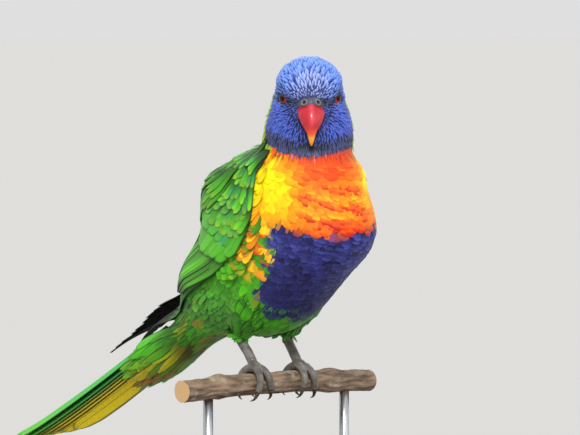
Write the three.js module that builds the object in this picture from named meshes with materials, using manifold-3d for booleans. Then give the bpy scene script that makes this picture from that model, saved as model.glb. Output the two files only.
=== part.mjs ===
// A life-size rainbow lorikeet gripping a cut length of branch on a display stand.
// Millimetres, +Z up. The body faces -Y, and the head turns towards the bird's right, -X.
// The bird is laid out about the middle of the branch and then set on the stand.
import * as THREE from "three";
import { mergeVertices } from "three/addons/utils/BufferGeometryUtils.js";
import Module from "manifold-3d";

const wasm = await Module();
wasm.setup();

const DEG = Math.PI / 180;
const GAP = 0.3;
const SIDES = [[1, "left"], [-1, "right"]];

const COLOURS = {
  headBlue: 0x3a4fc4,
  neckBlue: 0x2c3a8c,
  breastOrange: 0xe87a12,
  wingGreen: 0x2fa52c,
  thighGreen: 0x3c9a2c,
  tailGreen: 0x1f9a4a,
  billRed: 0xd8342a,
  cereGrey: 0x6b6f7a,
  eyeRed: 0xb0261c,
  footGrey: 0x6f6a66,
  clawDark: 0x35322f,
  bark: 0x7a6248,
  steel: 0xc9ccd0,
  darkWood: 0x4a3524,
};

// Stand and branch
const PERCH_HEIGHT = 46;
const PERCH_AHEAD = 12;
const PERCH_RADIUS = 4.8;
const PERCH_LENGTH = 112;
const PERCH_DROOP = 2.2;
const PERCH_KNOTS = [-0.62, 0.56];
const BASE_RADIUS = 66;
const BASE_HEIGHT = 10;
const BASE_BEVEL = 2;
const ROD_RADIUS = 2.2;
const ROD_SPREAD = 40;
const ROD_DEPTH = 6;

// Head, with its parts measured from the middle of the skull and the bill along -Y
const HEAD_AT = new THREE.Vector3(0, -21, 124);
const HEAD_YAW = -39.5 * DEG;
const HEAD_PITCH = 12 * DEG;
const EYE_AT = [9.9, -9.6, 3.2];
const EYE_RADIUS = 3.5;
const EYE_FACING = [1, -0.75, 0.02];
const SOCKET_OUT = 3.3;
const SOCKET_RADIUS = 3;
const LID_RADIUS = 2.9;
const LID_THICKNESS = 0.6;
const LID_OUT = 2.3;
const CERE_AT = [0, -15.4, 3.6];
const CERE_HALF = [6.4, 4.6, 3];
const CERE_LEAN = 28;
const NOSTRIL_AT = [2.9, -18.8, 4.2];
const NOSTRIL_RADIUS = 0.95;

// Body axis from the neck to beyond the wing tips, as y and z
const BODY_AXIS = [
  [-21, 109],
  [-19.5, 98],
  [-14.5, 84],
  [-5, 68],
  [11, 50],
  [31, 33.5],
  [55, 20.5],
  [80, 9.5],
  [110, -5],
  [150, -25],
];
const NECK_START = 0.5;
const NECK_END = 15;
const TORSO_END = 142;

// Wings. Places on them are distances along the body axis and angles round it in degrees, from
// 0 at the flank to 90 on the back. The edges are the lower and the upper one of a folded wing.
const WING_LOW = [
  [16, 4], [24, -3], [34, -14], [50, -15], [62, -9], [70, -4], [92, 17], [127, 38], [142, 66],
];
const WING_HIGH = [[16, 40], [45, 62], [70, 76], [95, 84], [120, 88], [142, 108]];
const WING_CEILING = [[98, 87.5], [108, 90], [125, 112], [150, 150]];
const WING_START = 16;
const WING_ARM_END = 84;
const WING_TIP = 176;
const WING_CLEARANCE = 1.2;
const WING_ARM_THICKNESS = 1.1;
const TIP_ANGLE_LEFT = 106;
const TIP_ANGLE_RIGHT = 131;
const CROSSING_LIFT = 5.4;

// Vanes lie in rows from the lower to the upper edge of the wing. All bend at the same stations
// along the axis, so that those that lie over one another keep apart.
const WING_STATIONS = [22, 30, 42, 54, 66, 76, 88, 100, 112, 124, 140, 156];
const VANE_FIRST_PLACE = 0.07;
const VANE_PITCH = 0.18;
const VANE_THICKNESS = 0.52;
const VANE_STEP = 0.95;
const VANE_LEAN = 0.2;
const VANE_TIP = 5;
const HIDDEN_WIDTH = 0.5;

// The share of a vane's width by the distance from its tip, and a covert's height by the share of
// its length from its root.
const FLIGHT_TIP = [[0, 0.12], [5, 0.5], [16, 0.86], [30, 1]];
const COVERT_TIP = [[0, 0.2], [5, 0.84], [12, 1]];
const COVERT_RISE = [[0, 1], [0.35, 2.9], [1, 4]];

// Each tier's first row and count, where its first and last vanes start and end, where it comes
// out from under the tier before it, half a vane's width, and its heights.
const PRIMARIES = {
  row: 0,
  count: 5,
  from: [64, 68],
  to: [176, 137],
  shows: 112,
  half: 3.6,
  rise: [[0, 1.2], [0.25, 1.5], [1, 1.3]],
  tip: FLIGHT_TIP,
};
const SECONDARIES = {
  row: 1,
  count: 5,
  from: [62, 64],
  to: [112, 120],
  shows: 90,
  half: 4.7,
  rise: [[0, 1.3], [0.4, 2.7], [1, 2.9]],
  tip: FLIGHT_TIP,
};
const COVERTS = { row: 0, count: 6, rise: COVERT_RISE, tip: COVERT_TIP };
const WING_TIERS = [
  PRIMARIES,
  SECONDARIES,
  { ...COVERTS, from: [48, 52], to: [84, 94], shows: 70, half: 4.9 },
  { ...COVERTS, from: [34, 38], to: [64, 72], shows: 52, half: 4.9 },
  { ...COVERTS, from: [19, 24], to: [47, 55], shows: 30, half: 4.8 },
];

// Tail: the line of its ridge as y and z, and how far each half slopes down from it
const TAIL_RIDGE = [[70, 24.6], [79.5, 19.5], [107, 4.1], [134.8, -10.7], [163.2, -24.9], [180, -32.6]];
const TAIL_SLOPE = 42 * DEG;
const TAIL_PAIRS = 6;
const TAIL_ROOT_END = 0.2;
const TAIL_VANE_HALF = 5;
const TAIL_SHORTEST = 0.74;
const TAIL_SPREAD = 1.5;
const TAIL_SHAPE = [[0, 0.7], [0.3, 0.92], [0.6, 1], [0.84, 0.9], [0.95, 0.5], [1, 0.12]];

// Legs
const FOOT_SPREAD = 13;
const SHANK_RADIUS = 2.2;
const ANKLE_AT = [13.5, 9, 19];
const TOE_RADIUS = 2;
const TOES = [
  { name: "inner_front", side: -1, from: 96, to: 212, splay: 2.6 },
  { name: "outer_front", side: 1, from: 96, to: 220, splay: 2.8 },
  { name: "inner_back", side: -1, from: 84, to: -20, splay: 2.2 },
  { name: "outer_back", side: 1, from: 84, to: -30, splay: 2.4 },
];
const CLAW_LENGTH = 7;
const THIGH_PATH = [[14, -4, 46], [14.2, 0.5, 36], [13.8, 5.5, 27], [13.5, 8.8, 19.6]];
const THIGH_RADII = [12.8, 3.4];

const vec = (x, y, z) => new THREE.Vector3(x, y, z);
const mix = THREE.MathUtils.lerp;
const smooth = (t, low, high) => THREE.MathUtils.smoothstep(t, low, high);
const moveTo = (x, y, z) => new THREE.Matrix4().makeTranslation(x, y, z);
const turnX = (angle) => new THREE.Matrix4().makeRotationX(angle * DEG);
const curveOf = (points) => new THREE.CatmullRomCurve3(points, false, "centripetal");

// Repeatable small differences between like feathers, from -1 to 1.
function varied(seed) {
  const wave = Math.sin(seed * 127.1 + 11.7) * 43758.5453;
  return (wave - Math.floor(wave)) * 2 - 1;
}

// A value read off a short list of [place, value] pairs.
function read(pairs, at) {
  if (at <= pairs[0][0]) return pairs[0][1];
  for (let i = 1; i < pairs.length; i++) {
    const [[a, x], [b, y]] = [pairs[i - 1], pairs[i]];
    if (at <= b) return mix(x, y, (at - a) / (b - a));
  }
  return pairs.at(-1)[1];
}

// A rounded mass of the body: its middle, its half sizes and how far it is pitched about X.
// A paired mass also has a twin across the midline.
function mass(at, half, { pitch = 0, paired = false } = {}) {
  const [cos, sin] = [Math.cos(pitch * DEG), Math.sin(pitch * DEG)];
  return (p) => {
    const x = (paired ? Math.abs(p.x) : p.x) - at[0];
    const y0 = p.y - at[1];
    const z0 = p.z - at[2];
    const y = y0 * cos + z0 * sin;
    const z = z0 * cos - y0 * sin;
    const near = Math.hypot(x / half[0], y / half[1], z / half[2]);
    const steep = Math.hypot(x / half[0] ** 2, y / half[1] ** 2, z / half[2] ** 2);
    return (near * (near - 1)) / Math.max(steep, 1e-6);
  };
}

// Two distances joined with a rounded crease of width k.
function blend(a, b, k) {
  const h = Math.max(k - Math.abs(a - b), 0) / k;
  return Math.min(a, b) - h * h * k * 0.25;
}

const headTurn = new THREE.Quaternion()
  .setFromAxisAngle(vec(0, 0, 1), HEAD_YAW)
  .multiply(new THREE.Quaternion().setFromAxisAngle(vec(1, 0, 0), HEAD_PITCH));
const headPlace = new THREE.Matrix4().compose(HEAD_AT, headTurn, vec(1, 1, 1));
const intoHead = headPlace.clone().invert();

// Each mass with the width of its crease: skull, crown, brows, cheeks and chin.
const headMasses = [
  [mass([0, 1, 1], [13.4, 17.5, 16]), 1],
  [mass([0, -3, 8.5], [12.8, 13, 9]), 7],
  [mass([8, -9, 8], [4, 6, 3], { paired: true }), 5],
  [mass([6.2, -4, -7], [9, 11, 11], { paired: true }), 8],
  [mass([0, -9, -9], [9.5, 8, 8]), 8],
];

// Neck, collar, breast, mantle, belly, rump and tail coverts.
const bodyMasses = [
  [mass([0, -21, 108], [18.5, 18.5, 14]), 10],
  [mass([0, -16, 93], [24, 29, 11]), 9],
  [mass([0, -12, 71], [28.5, 43, 28], { pitch: 4 }), 14],
  [mass([0, 8, 80], [23, 20, 19.5], { pitch: -30 }), 12],
  [mass([0, 2, 49], [27, 35, 27], { pitch: -30 }), 14],
  [mass([0, 30, 42], [20.5, 24.5, 17], { pitch: -42 }), 14],
  [mass([0, 62, 15.5], [12, 36, 9.5], { pitch: -28 }), 12],
];

// How far a point is outside the bird's head and body.
function bodyField(p) {
  const local = p.clone().applyMatrix4(intoHead);
  let d = 1e9;
  for (const [field, k] of headMasses) d = blend(d, field(local), k);
  for (const [field, k] of bodyMasses) d = blend(d, field(p), k);
  return d;
}

// The same with the root of the tail, which the wing tips clear.
const tailRoom = mass([0, 94, 2.8], [8.8, 50, 7.6], { pitch: -28 });
const wingField = (p) => blend(bodyField(p), tailRoom(p), 8);

// How far along a ray from inside a field reaches the given level.
function reach(field, from, dir, level = 0) {
  const at = (t) => field(from.clone().addScaledVector(dir, t)) - level;
  const [step, farthest, halvings] = [1.5, 60, 14];
  let high = step;
  while (high < farthest && at(high) < 0) high += step;
  let low = high - step;
  for (let i = 0; i < halvings; i++) {
    const middle = (low + high) / 2;
    if (at(middle) < 0) low = middle;
    else high = middle;
  }
  return (low + high) / 2;
}

function closedSolid(points, faces) {
  const solid = new wasm.Manifold(
    new wasm.Mesh({
      numProp: 3,
      vertProperties: new Float32Array(points.flatMap((p) => [p.x, p.y, p.z])),
      triVerts: new Uint32Array(faces.flat()),
    }),
  );
  if (solid.volume() > 0) return solid;
  return closedSolid(points, faces.map(([a, b, c]) => [a, c, b]));
}

// A closed solid from rings of points, with a strip over each end. The second half of a ring is
// split the other way, so that the two faces of a thin vane are split alike.
function loft(rings) {
  const n = rings[0].length;
  const faces = [];
  for (let i = 0; i + 1 < rings.length; i++) {
    for (let j = 0; j < n; j++) {
      const a = i * n + j;
      const b = i * n + ((j + 1) % n);
      const [c, d] = [b + n, a + n];
      if (j < n / 2) faces.push([a, b, c], [a, c, d]);
      else faces.push([a, b, d], [b, c, d]);
    }
  }
  const last = (rings.length - 1) * n;
  for (let j = 0; j + 1 < n / 2; j++) {
    const [a, b, c, d] = [j, j + 1, n - 2 - j, n - 1 - j];
    faces.push([a, c, b], [a, d, c]);
    faces.push([last + a, last + b, last + c], [last + a, last + c, last + d]);
  }
  return closedSolid(rings.flat(), faces);
}

// A three.js geometry as a solid, moved by a matrix if one is given.
function solidOf(geometry, matrix = new THREE.Matrix4()) {
  const bare = new THREE.BufferGeometry();
  bare.setAttribute("position", geometry.getAttribute("position").clone());
  if (geometry.index) bare.setIndex(geometry.index);
  const merged = mergeVertices(bare.applyMatrix4(matrix), 1e-4);
  const position = merged.getAttribute("position");
  const points = [];
  for (let i = 0; i < position.count; i++) points.push(vec(0, 0, 0).fromBufferAttribute(position, i));
  const index = merged.index.array;
  const faces = [];
  for (let i = 0; i < index.length; i += 3) faces.push([index[i], index[i + 1], index[i + 2]]);
  return closedSolid(points, faces.filter(([a, b, c]) => a !== b && b !== c && a !== c));
}

function largest(solid) {
  return solid.decompose().reduce((a, b) => (b.volume() > a.volume() ? b : a));
}

const join = (solids) => solids.reduce((a, b) => a.add(b));
const move = (solid, matrix) => solid.transform(matrix.elements);

function ball(radii, at, across = 16, down = 10, lean = 0) {
  const place = moveTo(...at).multiply(turnX(lean)).multiply(new THREE.Matrix4().makeScale(...radii));
  return solidOf(new THREE.SphereGeometry(1, across, down), place);
}

// A round tube along a curve, with its radius given along it and round it.
function tube(curve, radiusAt, rings, segments) {
  const frames = curve.computeFrenetFrames(rings, false);
  const shell = [];
  for (let i = 0; i <= rings; i++) {
    const u = i / rings;
    const at = curve.getPointAt(u);
    const ring = [];
    for (let j = 0; j < segments; j++) {
      const turn = (2 * Math.PI * j) / segments;
      const radius = radiusAt(u, turn);
      ring.push(
        at.clone()
          .addScaledVector(frames.normals[i], radius * Math.cos(turn))
          .addScaledVector(frames.binormals[i], radius * Math.sin(turn)),
      );
    }
    shell.push(ring);
  }
  return loft(shell);
}

// The body axis, with the direction to the back at a distance along it.
const axis = curveOf(BODY_AXIS.map(([y, z]) => vec(0, y, z)));
const AXIS_LENGTH = axis.getLength();

function axisFrame(along) {
  const u = THREE.MathUtils.clamp(along / AXIS_LENGTH, 0, 1);
  const tangent = axis.getTangentAt(u);
  return { at: axis.getPointAt(u), tangent, back: vec(0, -tangent.z, tangent.y) };
}

function outward(frame, side, angle) {
  return vec(side * Math.cos(angle * DEG), 0, 0).addScaledVector(frame.back, Math.sin(angle * DEG));
}

// The part of a solid on one side of a section across the body axis.
function keepAhead(solid, along) {
  const frame = axisFrame(along);
  const normal = frame.tangent.clone().negate();
  return solid.trimByPlane(normal.toArray(), normal.dot(frame.at));
}

function keepBehind(solid, along) {
  const frame = axisFrame(along);
  return solid.trimByPlane(frame.tangent.toArray(), frame.tangent.dot(frame.at));
}

// A length of the body between two places on its axis, at an offset from its surface and with
// an overrun past both ends.
function bodyLength(from, to, rings, segments, offset = 0, overrun = 0) {
  const stations = Array.from({ length: rings + 1 }, (_, i) => mix(from, to, i / rings));
  if (overrun > 0) {
    stations.unshift(from - overrun);
    stations.push(to + overrun);
  }
  return loft(
    stations.map((along) => {
      const frame = axisFrame(along);
      return Array.from({ length: segments }, (_, j) => {
        const dir = outward(frame, 1, (360 * j) / segments);
        return frame.at.clone().addScaledVector(dir, reach(bodyField, frame.at, dir, offset));
      });
    }),
  );
}

const makeNeck = () => bodyLength(NECK_START + GAP / 2, NECK_END - GAP / 2, 4, 28);
const makeTorso = (offset, overrun) => bodyLength(NECK_END + GAP / 2, TORSO_END, 20, 28, offset, overrun);
const torsoRoom = makeTorso(GAP, 4);

// Wings: a thin arm under the coverts, and tiers of overlapping vanes that grow from it.
function wingEdges(side, along) {
  const close = smooth(along, 140, WING_TIP);
  const tip = side > 0 ? TIP_ANGLE_LEFT : TIP_ANGLE_RIGHT;
  return [mix(read(WING_LOW, along), tip - 5, close), mix(read(WING_HIGH, along), tip + 5, close)];
}

// How far the left wing is raised where it crosses over the right one.
function crossingLift(side, along, angle) {
  if (side < 0) return 0;
  const over = smooth(along, 92, 124) * smooth(angle, 10, 88);
  return over * (CROSSING_LIFT - 1.6 * smooth(along, 130, 160));
}

function wingPoint(side, along, angle, height) {
  const frame = axisFrame(along);
  const held = Math.min(angle, read(WING_CEILING, along));
  const dir = outward(frame, side, held);
  const out = reach(wingField, frame.at, dir) + height + crossingLift(side, along, held);
  return frame.at.clone().addScaledVector(dir, out);
}

function wingRadius(side, along, angle) {
  const frame = axisFrame(along);
  return reach(wingField, frame.at, outward(frame, side, angle));
}

function wingArm(side) {
  const across = [0.03, 0.27, 0.5, 0.74, 0.99];
  const stations = [WING_START, ...WING_STATIONS.filter((along) => along < WING_ARM_END), WING_ARM_END];
  return loft(
    stations.map((along) => {
      const [low, high] = wingEdges(side, along);
      const thick = WING_ARM_THICKNESS * (1 - 0.5 * smooth(along, 70, WING_ARM_END));
      const row = (height) => across.map((place) => {
        const bulge = 0.6 + 0.4 * Math.sin(Math.PI * place);
        return wingPoint(side, along, mix(low, high, place), WING_CLEARANCE + height * thick * bulge);
      });
      return [...row(1), ...row(0).reverse()];
    }),
  );
}

// One vane of a tier. Its lower edge lies over the neighbour below and its upper edge under the
// neighbour above, and where the wing narrows the vanes are stacked on one another instead.
function wingVane(side, tier, i) {
  const seed = WING_TIERS.indexOf(tier) * 31 + i * 7 + side;
  const share = i / (tier.count - 1);
  const from = mix(...tier.from, share);
  const to = mix(...tier.to, share) + 1.2 * varied(seed);
  const row = tier.row + i;
  const place = VANE_FIRST_PLACE + VANE_PITCH * row;
  const half = tier.half * (1 + 0.05 * varied(seed + 5));
  const [first, last] = [from + 2 * VANE_TIP, to - 1.6 * VANE_TIP];
  const stations = WING_STATIONS.filter((along) => along > first && along < last);
  return loft(
    [from, ...stations, to - VANE_TIP, to].map((along) => {
      const t = (along - from) / (to - from);
      const [low, high] = wingEdges(side, along);
      const middle = mix(low, high, place);
      const degree = wingRadius(side, along, middle) * DEG;
      const pitch = (high - low) * degree * VANE_PITCH;
      const lean = Math.min(VANE_LEAN, VANE_STEP / pitch);
      const height = read(tier.rise, t) + row * Math.max(VANE_STEP - lean * pitch, 0);
      const thick = VANE_THICKNESS * (along < to ? 1 : 0.7);
      const shown = smooth(along, tier.shows - 10, tier.shows + 6);
      const wide = half * read(tier.tip, to - along) * mix(HIDDEN_WIDTH, 1, shown);
      const at = (across, up) => {
        const offset = across * wide;
        return wingPoint(side, along, middle + offset / degree, height - offset * lean + up);
      };
      const top = [-1, 0, 1].map((across) => at(across, thick));
      const under = [1, 0, -1].map((across) => at(across, 0));
      return [...top, ...under];
    }),
  );
}

function makeWing(side) {
  const pieces = [wingArm(side)];
  for (const tier of WING_TIERS) {
    for (let i = 0; i < tier.count; i++) pieces.push(wingVane(side, tier, i));
  }
  return join(pieces).subtract(torsoRoom);
}

// Tail: a root like a ridged roof, and graduated vanes stacked under the middle pair.
const tailRidge = curveOf(TAIL_RIDGE.map(([y, z]) => vec(0, y, z)));

// A point on the tail: how far along it, how far out from the ridge, and how deep under the top.
function tailPoint(t, across, depth) {
  const at = tailRidge.getPointAt(t);
  const along = tailRidge.getTangentAt(t);
  const up = vec(0, -along.z, along.y);
  const out = Math.abs(across);
  const slope = TAIL_SLOPE * smooth(out, 0, 0.3);
  const over = out * Math.cos(TAIL_SLOPE) - depth * Math.sin(slope);
  const drop = out * Math.sin(TAIL_SLOPE) + depth * Math.cos(slope);
  return at.addScaledVector(vec(1, 0, 0), Math.sign(across) * over).addScaledVector(up, -drop);
}

function tailRoot() {
  const depth = (TAIL_PAIRS + 0.8) * VANE_STEP;
  return loft(
    [0, 0.5, 1].map((share) => {
      const t = TAIL_ROOT_END * share;
      const thick = depth * (1 - 0.5 * smooth(share, 0.5, 1));
      const places = [-9.5, 0, 9.5];
      const top = places.map((place) => tailPoint(t, place, 0.15));
      const under = places.map((place) => tailPoint(t, place, thick)).reverse();
      return [...top, ...under];
    }),
  );
}

// One of a pair of vanes. The middle two fold over the ridge, and the others keep to their side.
function tailVane(side, pair) {
  const seed = pair * 13 + side * 5;
  const graduated = mix(1, TAIL_SHORTEST, pair / (TAIL_PAIRS - 1));
  const end = graduated - 0.006 * (1 + side) + 0.006 * varied(seed);
  const level = pair === 0 && side < 0 ? 0 : pair + 1;
  const depth = VANE_STEP * level;
  const innermost = 0.3 + (depth + VANE_THICKNESS) * Math.tan(TAIL_SLOPE);
  return loft(
    TAIL_SHAPE.map(([u, wide]) => {
      const t = mix(0.04, end, u);
      const middle = 3.4 + TAIL_SPREAD * pair;
      const half = TAIL_VANE_HALF * wide * (1 + 0.04 * varied(seed + 2));
      const thick = VANE_THICKNESS * (u < 1 ? 1 : 0.7);
      const inner = Math.max(middle - half, innermost);
      const outer = Math.max(middle + half, innermost + 0.3);
      const places = pair === 0 ? [-2 * wide, 0, outer] : [inner, outer];
      const top = places.map((place) => tailPoint(t, side * place, depth));
      const under = places.map((place) => tailPoint(t, side * place, depth + thick)).reverse();
      return [...top, ...under];
    }),
  );
}

function makeTail() {
  const vanes = [];
  for (let pair = 0; pair < TAIL_PAIRS; pair++) vanes.push(tailVane(-1, pair), tailVane(1, pair));
  return keepBehind(join([tailRoot(), ...vanes]), TORSO_END + GAP);
}

// Feet: two toes forward and two back, wrapped round the branch, on a short upright shank.
const GRIP_RADIUS = PERCH_RADIUS + GAP + TOE_RADIUS;

function toeCurve(side, toe, from, to) {
  const points = [];
  for (let i = 0; i <= 6; i++) {
    const u = mix(from, to, i / 6);
    const turn = mix(toe.from, toe.to, u) * DEG;
    const x = side * (FOOT_SPREAD + toe.side * (1.2 + toe.splay * u));
    points.push(vec(x, GRIP_RADIUS * Math.cos(turn), GRIP_RADIUS * Math.sin(turn)));
  }
  return curveOf(points);
}

function shankTube(side, extra, top = 0) {
  const points = [
    vec(side * FOOT_SPREAD, 0, GRIP_RADIUS),
    vec(side * FOOT_SPREAD, 3.2, GRIP_RADIUS + 5),
    vec(side * ANKLE_AT[0], ANKLE_AT[1] + top * 0.6, ANKLE_AT[2] + top),
  ];
  return tube(curveOf(points), () => SHANK_RADIUS + extra, 4, 8);
}

function makeFoot(side) {
  const toeRadius = (u) => TOE_RADIUS * mix(1, 0.74, u);
  const toes = TOES.map((toe) => tube(toeCurve(side, toe, 0, 0.9), toeRadius, 6, 6));
  const palm = ball([3.3, 2.9, 2.6], [side * FOOT_SPREAD, 0, GRIP_RADIUS + 0.4], 10, 6);
  return join([...toes, palm, shankTube(side, 0)]).subtract(makePerch(GAP));
}

function makeClaw(side, toe) {
  const path = toeCurve(side, toe, 0.9, 1);
  const start = path.getPointAt(0);
  const forward = path.getTangentAt(0);
  const inward = vec(0, -start.y, -start.z).normalize();
  const points = [0, 0.33, 0.66, 1].map((u) =>
    start.clone()
      .addScaledVector(forward, GAP + CLAW_LENGTH * u * (1 - 0.25 * u))
      .addScaledVector(inward, -0.6 * Math.sin(Math.PI * u) + 1.6 * u * u),
  );
  return tube(curveOf(points), (u) => mix(1.25, 0.18, u ** 0.8), 5, 6).subtract(makePerch(GAP));
}

// A feathered thigh under the flank, opened for the shank.
function makeThigh(side) {
  const path = curveOf(THIGH_PATH.map(([x, y, z]) => vec(side * x, y, z)));
  return tube(path, (u) => mix(...THIGH_RADII, u ** 1.9), 7, 13)
    .subtract(torsoRoom)
    .subtract(shankTube(side, GAP, 2.5));
}

// Head: star-shaped about the middle of the skull, and cut off flat where the neck begins.
function skullShell() {
  const geometry = new THREE.SphereGeometry(1, 23, 15);
  const position = geometry.getAttribute("position");
  for (let i = 0; i < position.count; i++) {
    const dir = vec(0, 0, 0).fromBufferAttribute(position, i).applyQuaternion(headTurn);
    const p = HEAD_AT.clone().addScaledVector(dir, reach(bodyField, HEAD_AT, dir));
    position.setXYZ(i, p.x, p.y, p.z);
  }
  return move(keepAhead(solidOf(geometry), NECK_START - GAP / 2), intoHead);
}

const eyeBall = (side, radius) =>
  ball([radius, radius, radius], [side * EYE_AT[0], EYE_AT[1], EYE_AT[2]], 12, 9);

const eyeFacing = (side) => vec(side * EYE_FACING[0], EYE_FACING[1], EYE_FACING[2]).normalize();

// The hollow in front of an eye, and the ring of its lids in that hollow.
function eyeSocket(side) {
  const at = vec(side * EYE_AT[0], EYE_AT[1], EYE_AT[2]).addScaledVector(eyeFacing(side), SOCKET_OUT);
  return ball(Array(3).fill(SOCKET_RADIUS), at.toArray(), 10, 6);
}

function lidRing(side) {
  const out = eyeFacing(side);
  const turn = new THREE.Quaternion().setFromUnitVectors(vec(0, 0, 1), out);
  const at = vec(side * EYE_AT[0], EYE_AT[1], EYE_AT[2]).addScaledVector(out, LID_OUT);
  const ring = new THREE.TorusGeometry(LID_RADIUS, LID_THICKNESS, 5, 12);
  return solidOf(ring, new THREE.Matrix4().compose(at, turn, vec(1, 1, 1)));
}

// Each section of the bill has a middle, half its width and depth, and how far it leans down.
const UPPER_BILL = [
  { y: -9, z: 0.6, w: 5.6, h: 5, lean: 0 },
  { y: -14, z: 0.4, w: 6.2, h: 4.6, lean: 0 },
  { y: -18.5, z: -0.5, w: 6.1, h: 4.2, lean: 22 },
  { y: -22, z: -2.6, w: 5.2, h: 4.1, lean: 50 },
  { y: -24, z: -6.2, w: 3.8, h: 3.2, lean: 70 },
  { y: -25, z: -9.8, w: 2.2, h: 2.1, lean: 82 },
  { y: -25.4, z: -12.6, w: 1.2, h: 1.1, lean: 86 },
  { y: -25.3, z: -14.6, w: 0.3, h: 0.3, lean: 92 },
];
const LOWER_BILL = [
  { y: -8, z: -5.6, w: 4.6, h: 3.4, lean: 0 },
  { y: -13.5, z: -6.6, w: 4.9, h: 3.5, lean: 18 },
  { y: -17.5, z: -8.2, w: 4.5, h: 3.2, lean: 30 },
  { y: -20.4, z: -10, w: 3.2, h: 2.2, lean: 38 },
  { y: -21.8, z: -11.2, w: 1.7, h: 0.9, lean: 42 },
];

function billLoft(sections, extra) {
  const segments = 16;
  const narrowTop = 0.16;
  return loft(
    sections.map(({ y, z, w, h, lean }, i) => {
      const forward = vec(0, -Math.cos(lean * DEG), -Math.sin(lean * DEG));
      const up = vec(0, -Math.sin(lean * DEG), Math.cos(lean * DEG));
      const ends = { 0: -extra, [sections.length - 1]: extra };
      const middle = vec(0, y, z).addScaledVector(forward, ends[i] ?? 0);
      return Array.from({ length: segments }, (_, j) => {
        const turn = (2 * Math.PI * j) / segments;
        const wide = w * (1 - narrowTop * Math.max(Math.sin(turn), 0)) + extra;
        return middle.clone()
          .addScaledVector(vec(1, 0, 0), wide * Math.cos(turn))
          .addScaledVector(up, (h + extra) * Math.sin(turn));
      });
    }),
  );
}

const upperBill = (extra = 0) => billLoft(UPPER_BILL, extra);
const lowerBill = (extra = 0) => billLoft(LOWER_BILL, extra);
const cereSwelling = (extra = 0) => ball(CERE_HALF.map((half) => half + extra), CERE_AT, 16, 8, CERE_LEAN);

function makeCere() {
  const [x, y, z] = NOSTRIL_AT;
  const pits = SIDES.map(([side]) => ball(Array(3).fill(NOSTRIL_RADIUS), [side * x, y, z], 8, 5));
  return cereSwelling().subtract(upperBill(GAP)).subtract(join(pits));
}

function makeHead() {
  const rooms = [upperBill(GAP), lowerBill(GAP), cereSwelling(GAP)];
  for (const [side] of SIDES) rooms.push(eyeBall(side, EYE_RADIUS + GAP));
  const skull = skullShell().subtract(join([eyeSocket(1), eyeSocket(-1)]));
  return join([skull, lidRing(1), lidRing(-1)]).subtract(join(rooms));
}

// Branch and stand
function makePerch(extra = 0) {
  const points = [-1, -0.72, -0.42, -0.2, 0.2, 0.45, 0.74, 1].map((u) => {
    const bend = Math.max(Math.abs(u) - 0.3, 0);
    return vec((u * PERCH_LENGTH) / 2, 1.6 * bend * Math.sign(u), -PERCH_DROOP * bend);
  });
  const radiusAt = (u, turn) => {
    const x = 2 * u - 1;
    const knot = PERCH_KNOTS.reduce((sum, at) => sum + 0.8 * Math.exp(-(((x - at) / 0.07) ** 2)), 0);
    return PERCH_RADIUS + extra + knot * (1 + 0.5 * Math.cos(turn)) + 0.12 * Math.sin(3 * turn + 9 * x);
  };
  return tube(curveOf(points), radiusAt, 22, 12);
}

function rodSolid(side, extra = 0) {
  const foot = BASE_HEIGHT - ROD_DEPTH - extra;
  const height = PERCH_HEIGHT - foot;
  const rod = new THREE.CylinderGeometry(ROD_RADIUS + extra, ROD_RADIUS + extra, height, 16);
  return solidOf(rod, moveTo(side * ROD_SPREAD, -PERCH_AHEAD, foot + height / 2).multiply(turnX(90)));
}

function makeRod(side) {
  const perchRoom = move(makePerch(GAP), moveTo(0, -PERCH_AHEAD, PERCH_HEIGHT));
  return rodSolid(side).subtract(perchRoom);
}

function makeBase() {
  const outline = [
    [0, 0],
    [BASE_RADIUS - 1, 0],
    [BASE_RADIUS, 1],
    [BASE_RADIUS, BASE_HEIGHT - BASE_BEVEL],
    [BASE_RADIUS - BASE_BEVEL, BASE_HEIGHT],
    [0, BASE_HEIGHT],
  ].map(([x, y]) => new THREE.Vector2(x, y));
  const disc = solidOf(new THREE.LatheGeometry(outline, 44), turnX(90));
  return disc.subtract(rodSolid(1, GAP)).subtract(rodSolid(-1, GAP));
}

// The named meshes, placed by groups for the bird and its head.
function meshOf(name, solid, color, roughness = 0.8, metalness = 0) {
  const { numProp, numVert, vertProperties, triVerts } = largest(solid).getMesh();
  const position = new Float32Array(numVert * 3);
  for (let i = 0; i < numVert; i++) {
    position.set(vertProperties.subarray(i * numProp, i * numProp + 3), i * 3);
  }
  const geometry = new THREE.BufferGeometry();
  geometry.setAttribute("position", new THREE.BufferAttribute(position, 3));
  geometry.setIndex(new THREE.BufferAttribute(new Uint32Array(triVerts), 1));
  geometry.computeVertexNormals();
  const mesh = new THREE.Mesh(geometry, new THREE.MeshStandardMaterial({ color, roughness, metalness }));
  mesh.name = name;
  return mesh;
}

function headGroup() {
  const group = new THREE.Group();
  group.position.copy(HEAD_AT);
  group.quaternion.copy(headTurn);
  group.add(meshOf("head", makeHead(), COLOURS.headBlue));
  group.add(meshOf("bill_upper", upperBill(), COLOURS.billRed, 0.35));
  group.add(meshOf("bill_lower", lowerBill().subtract(upperBill(GAP)), COLOURS.billRed, 0.35));
  group.add(meshOf("cere", makeCere(), COLOURS.cereGrey, 0.5));
  for (const [side, suffix] of SIDES) {
    group.add(meshOf(`eye_${suffix}`, eyeBall(side, EYE_RADIUS), COLOURS.eyeRed, 0.1));
  }
  return group;
}

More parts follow.
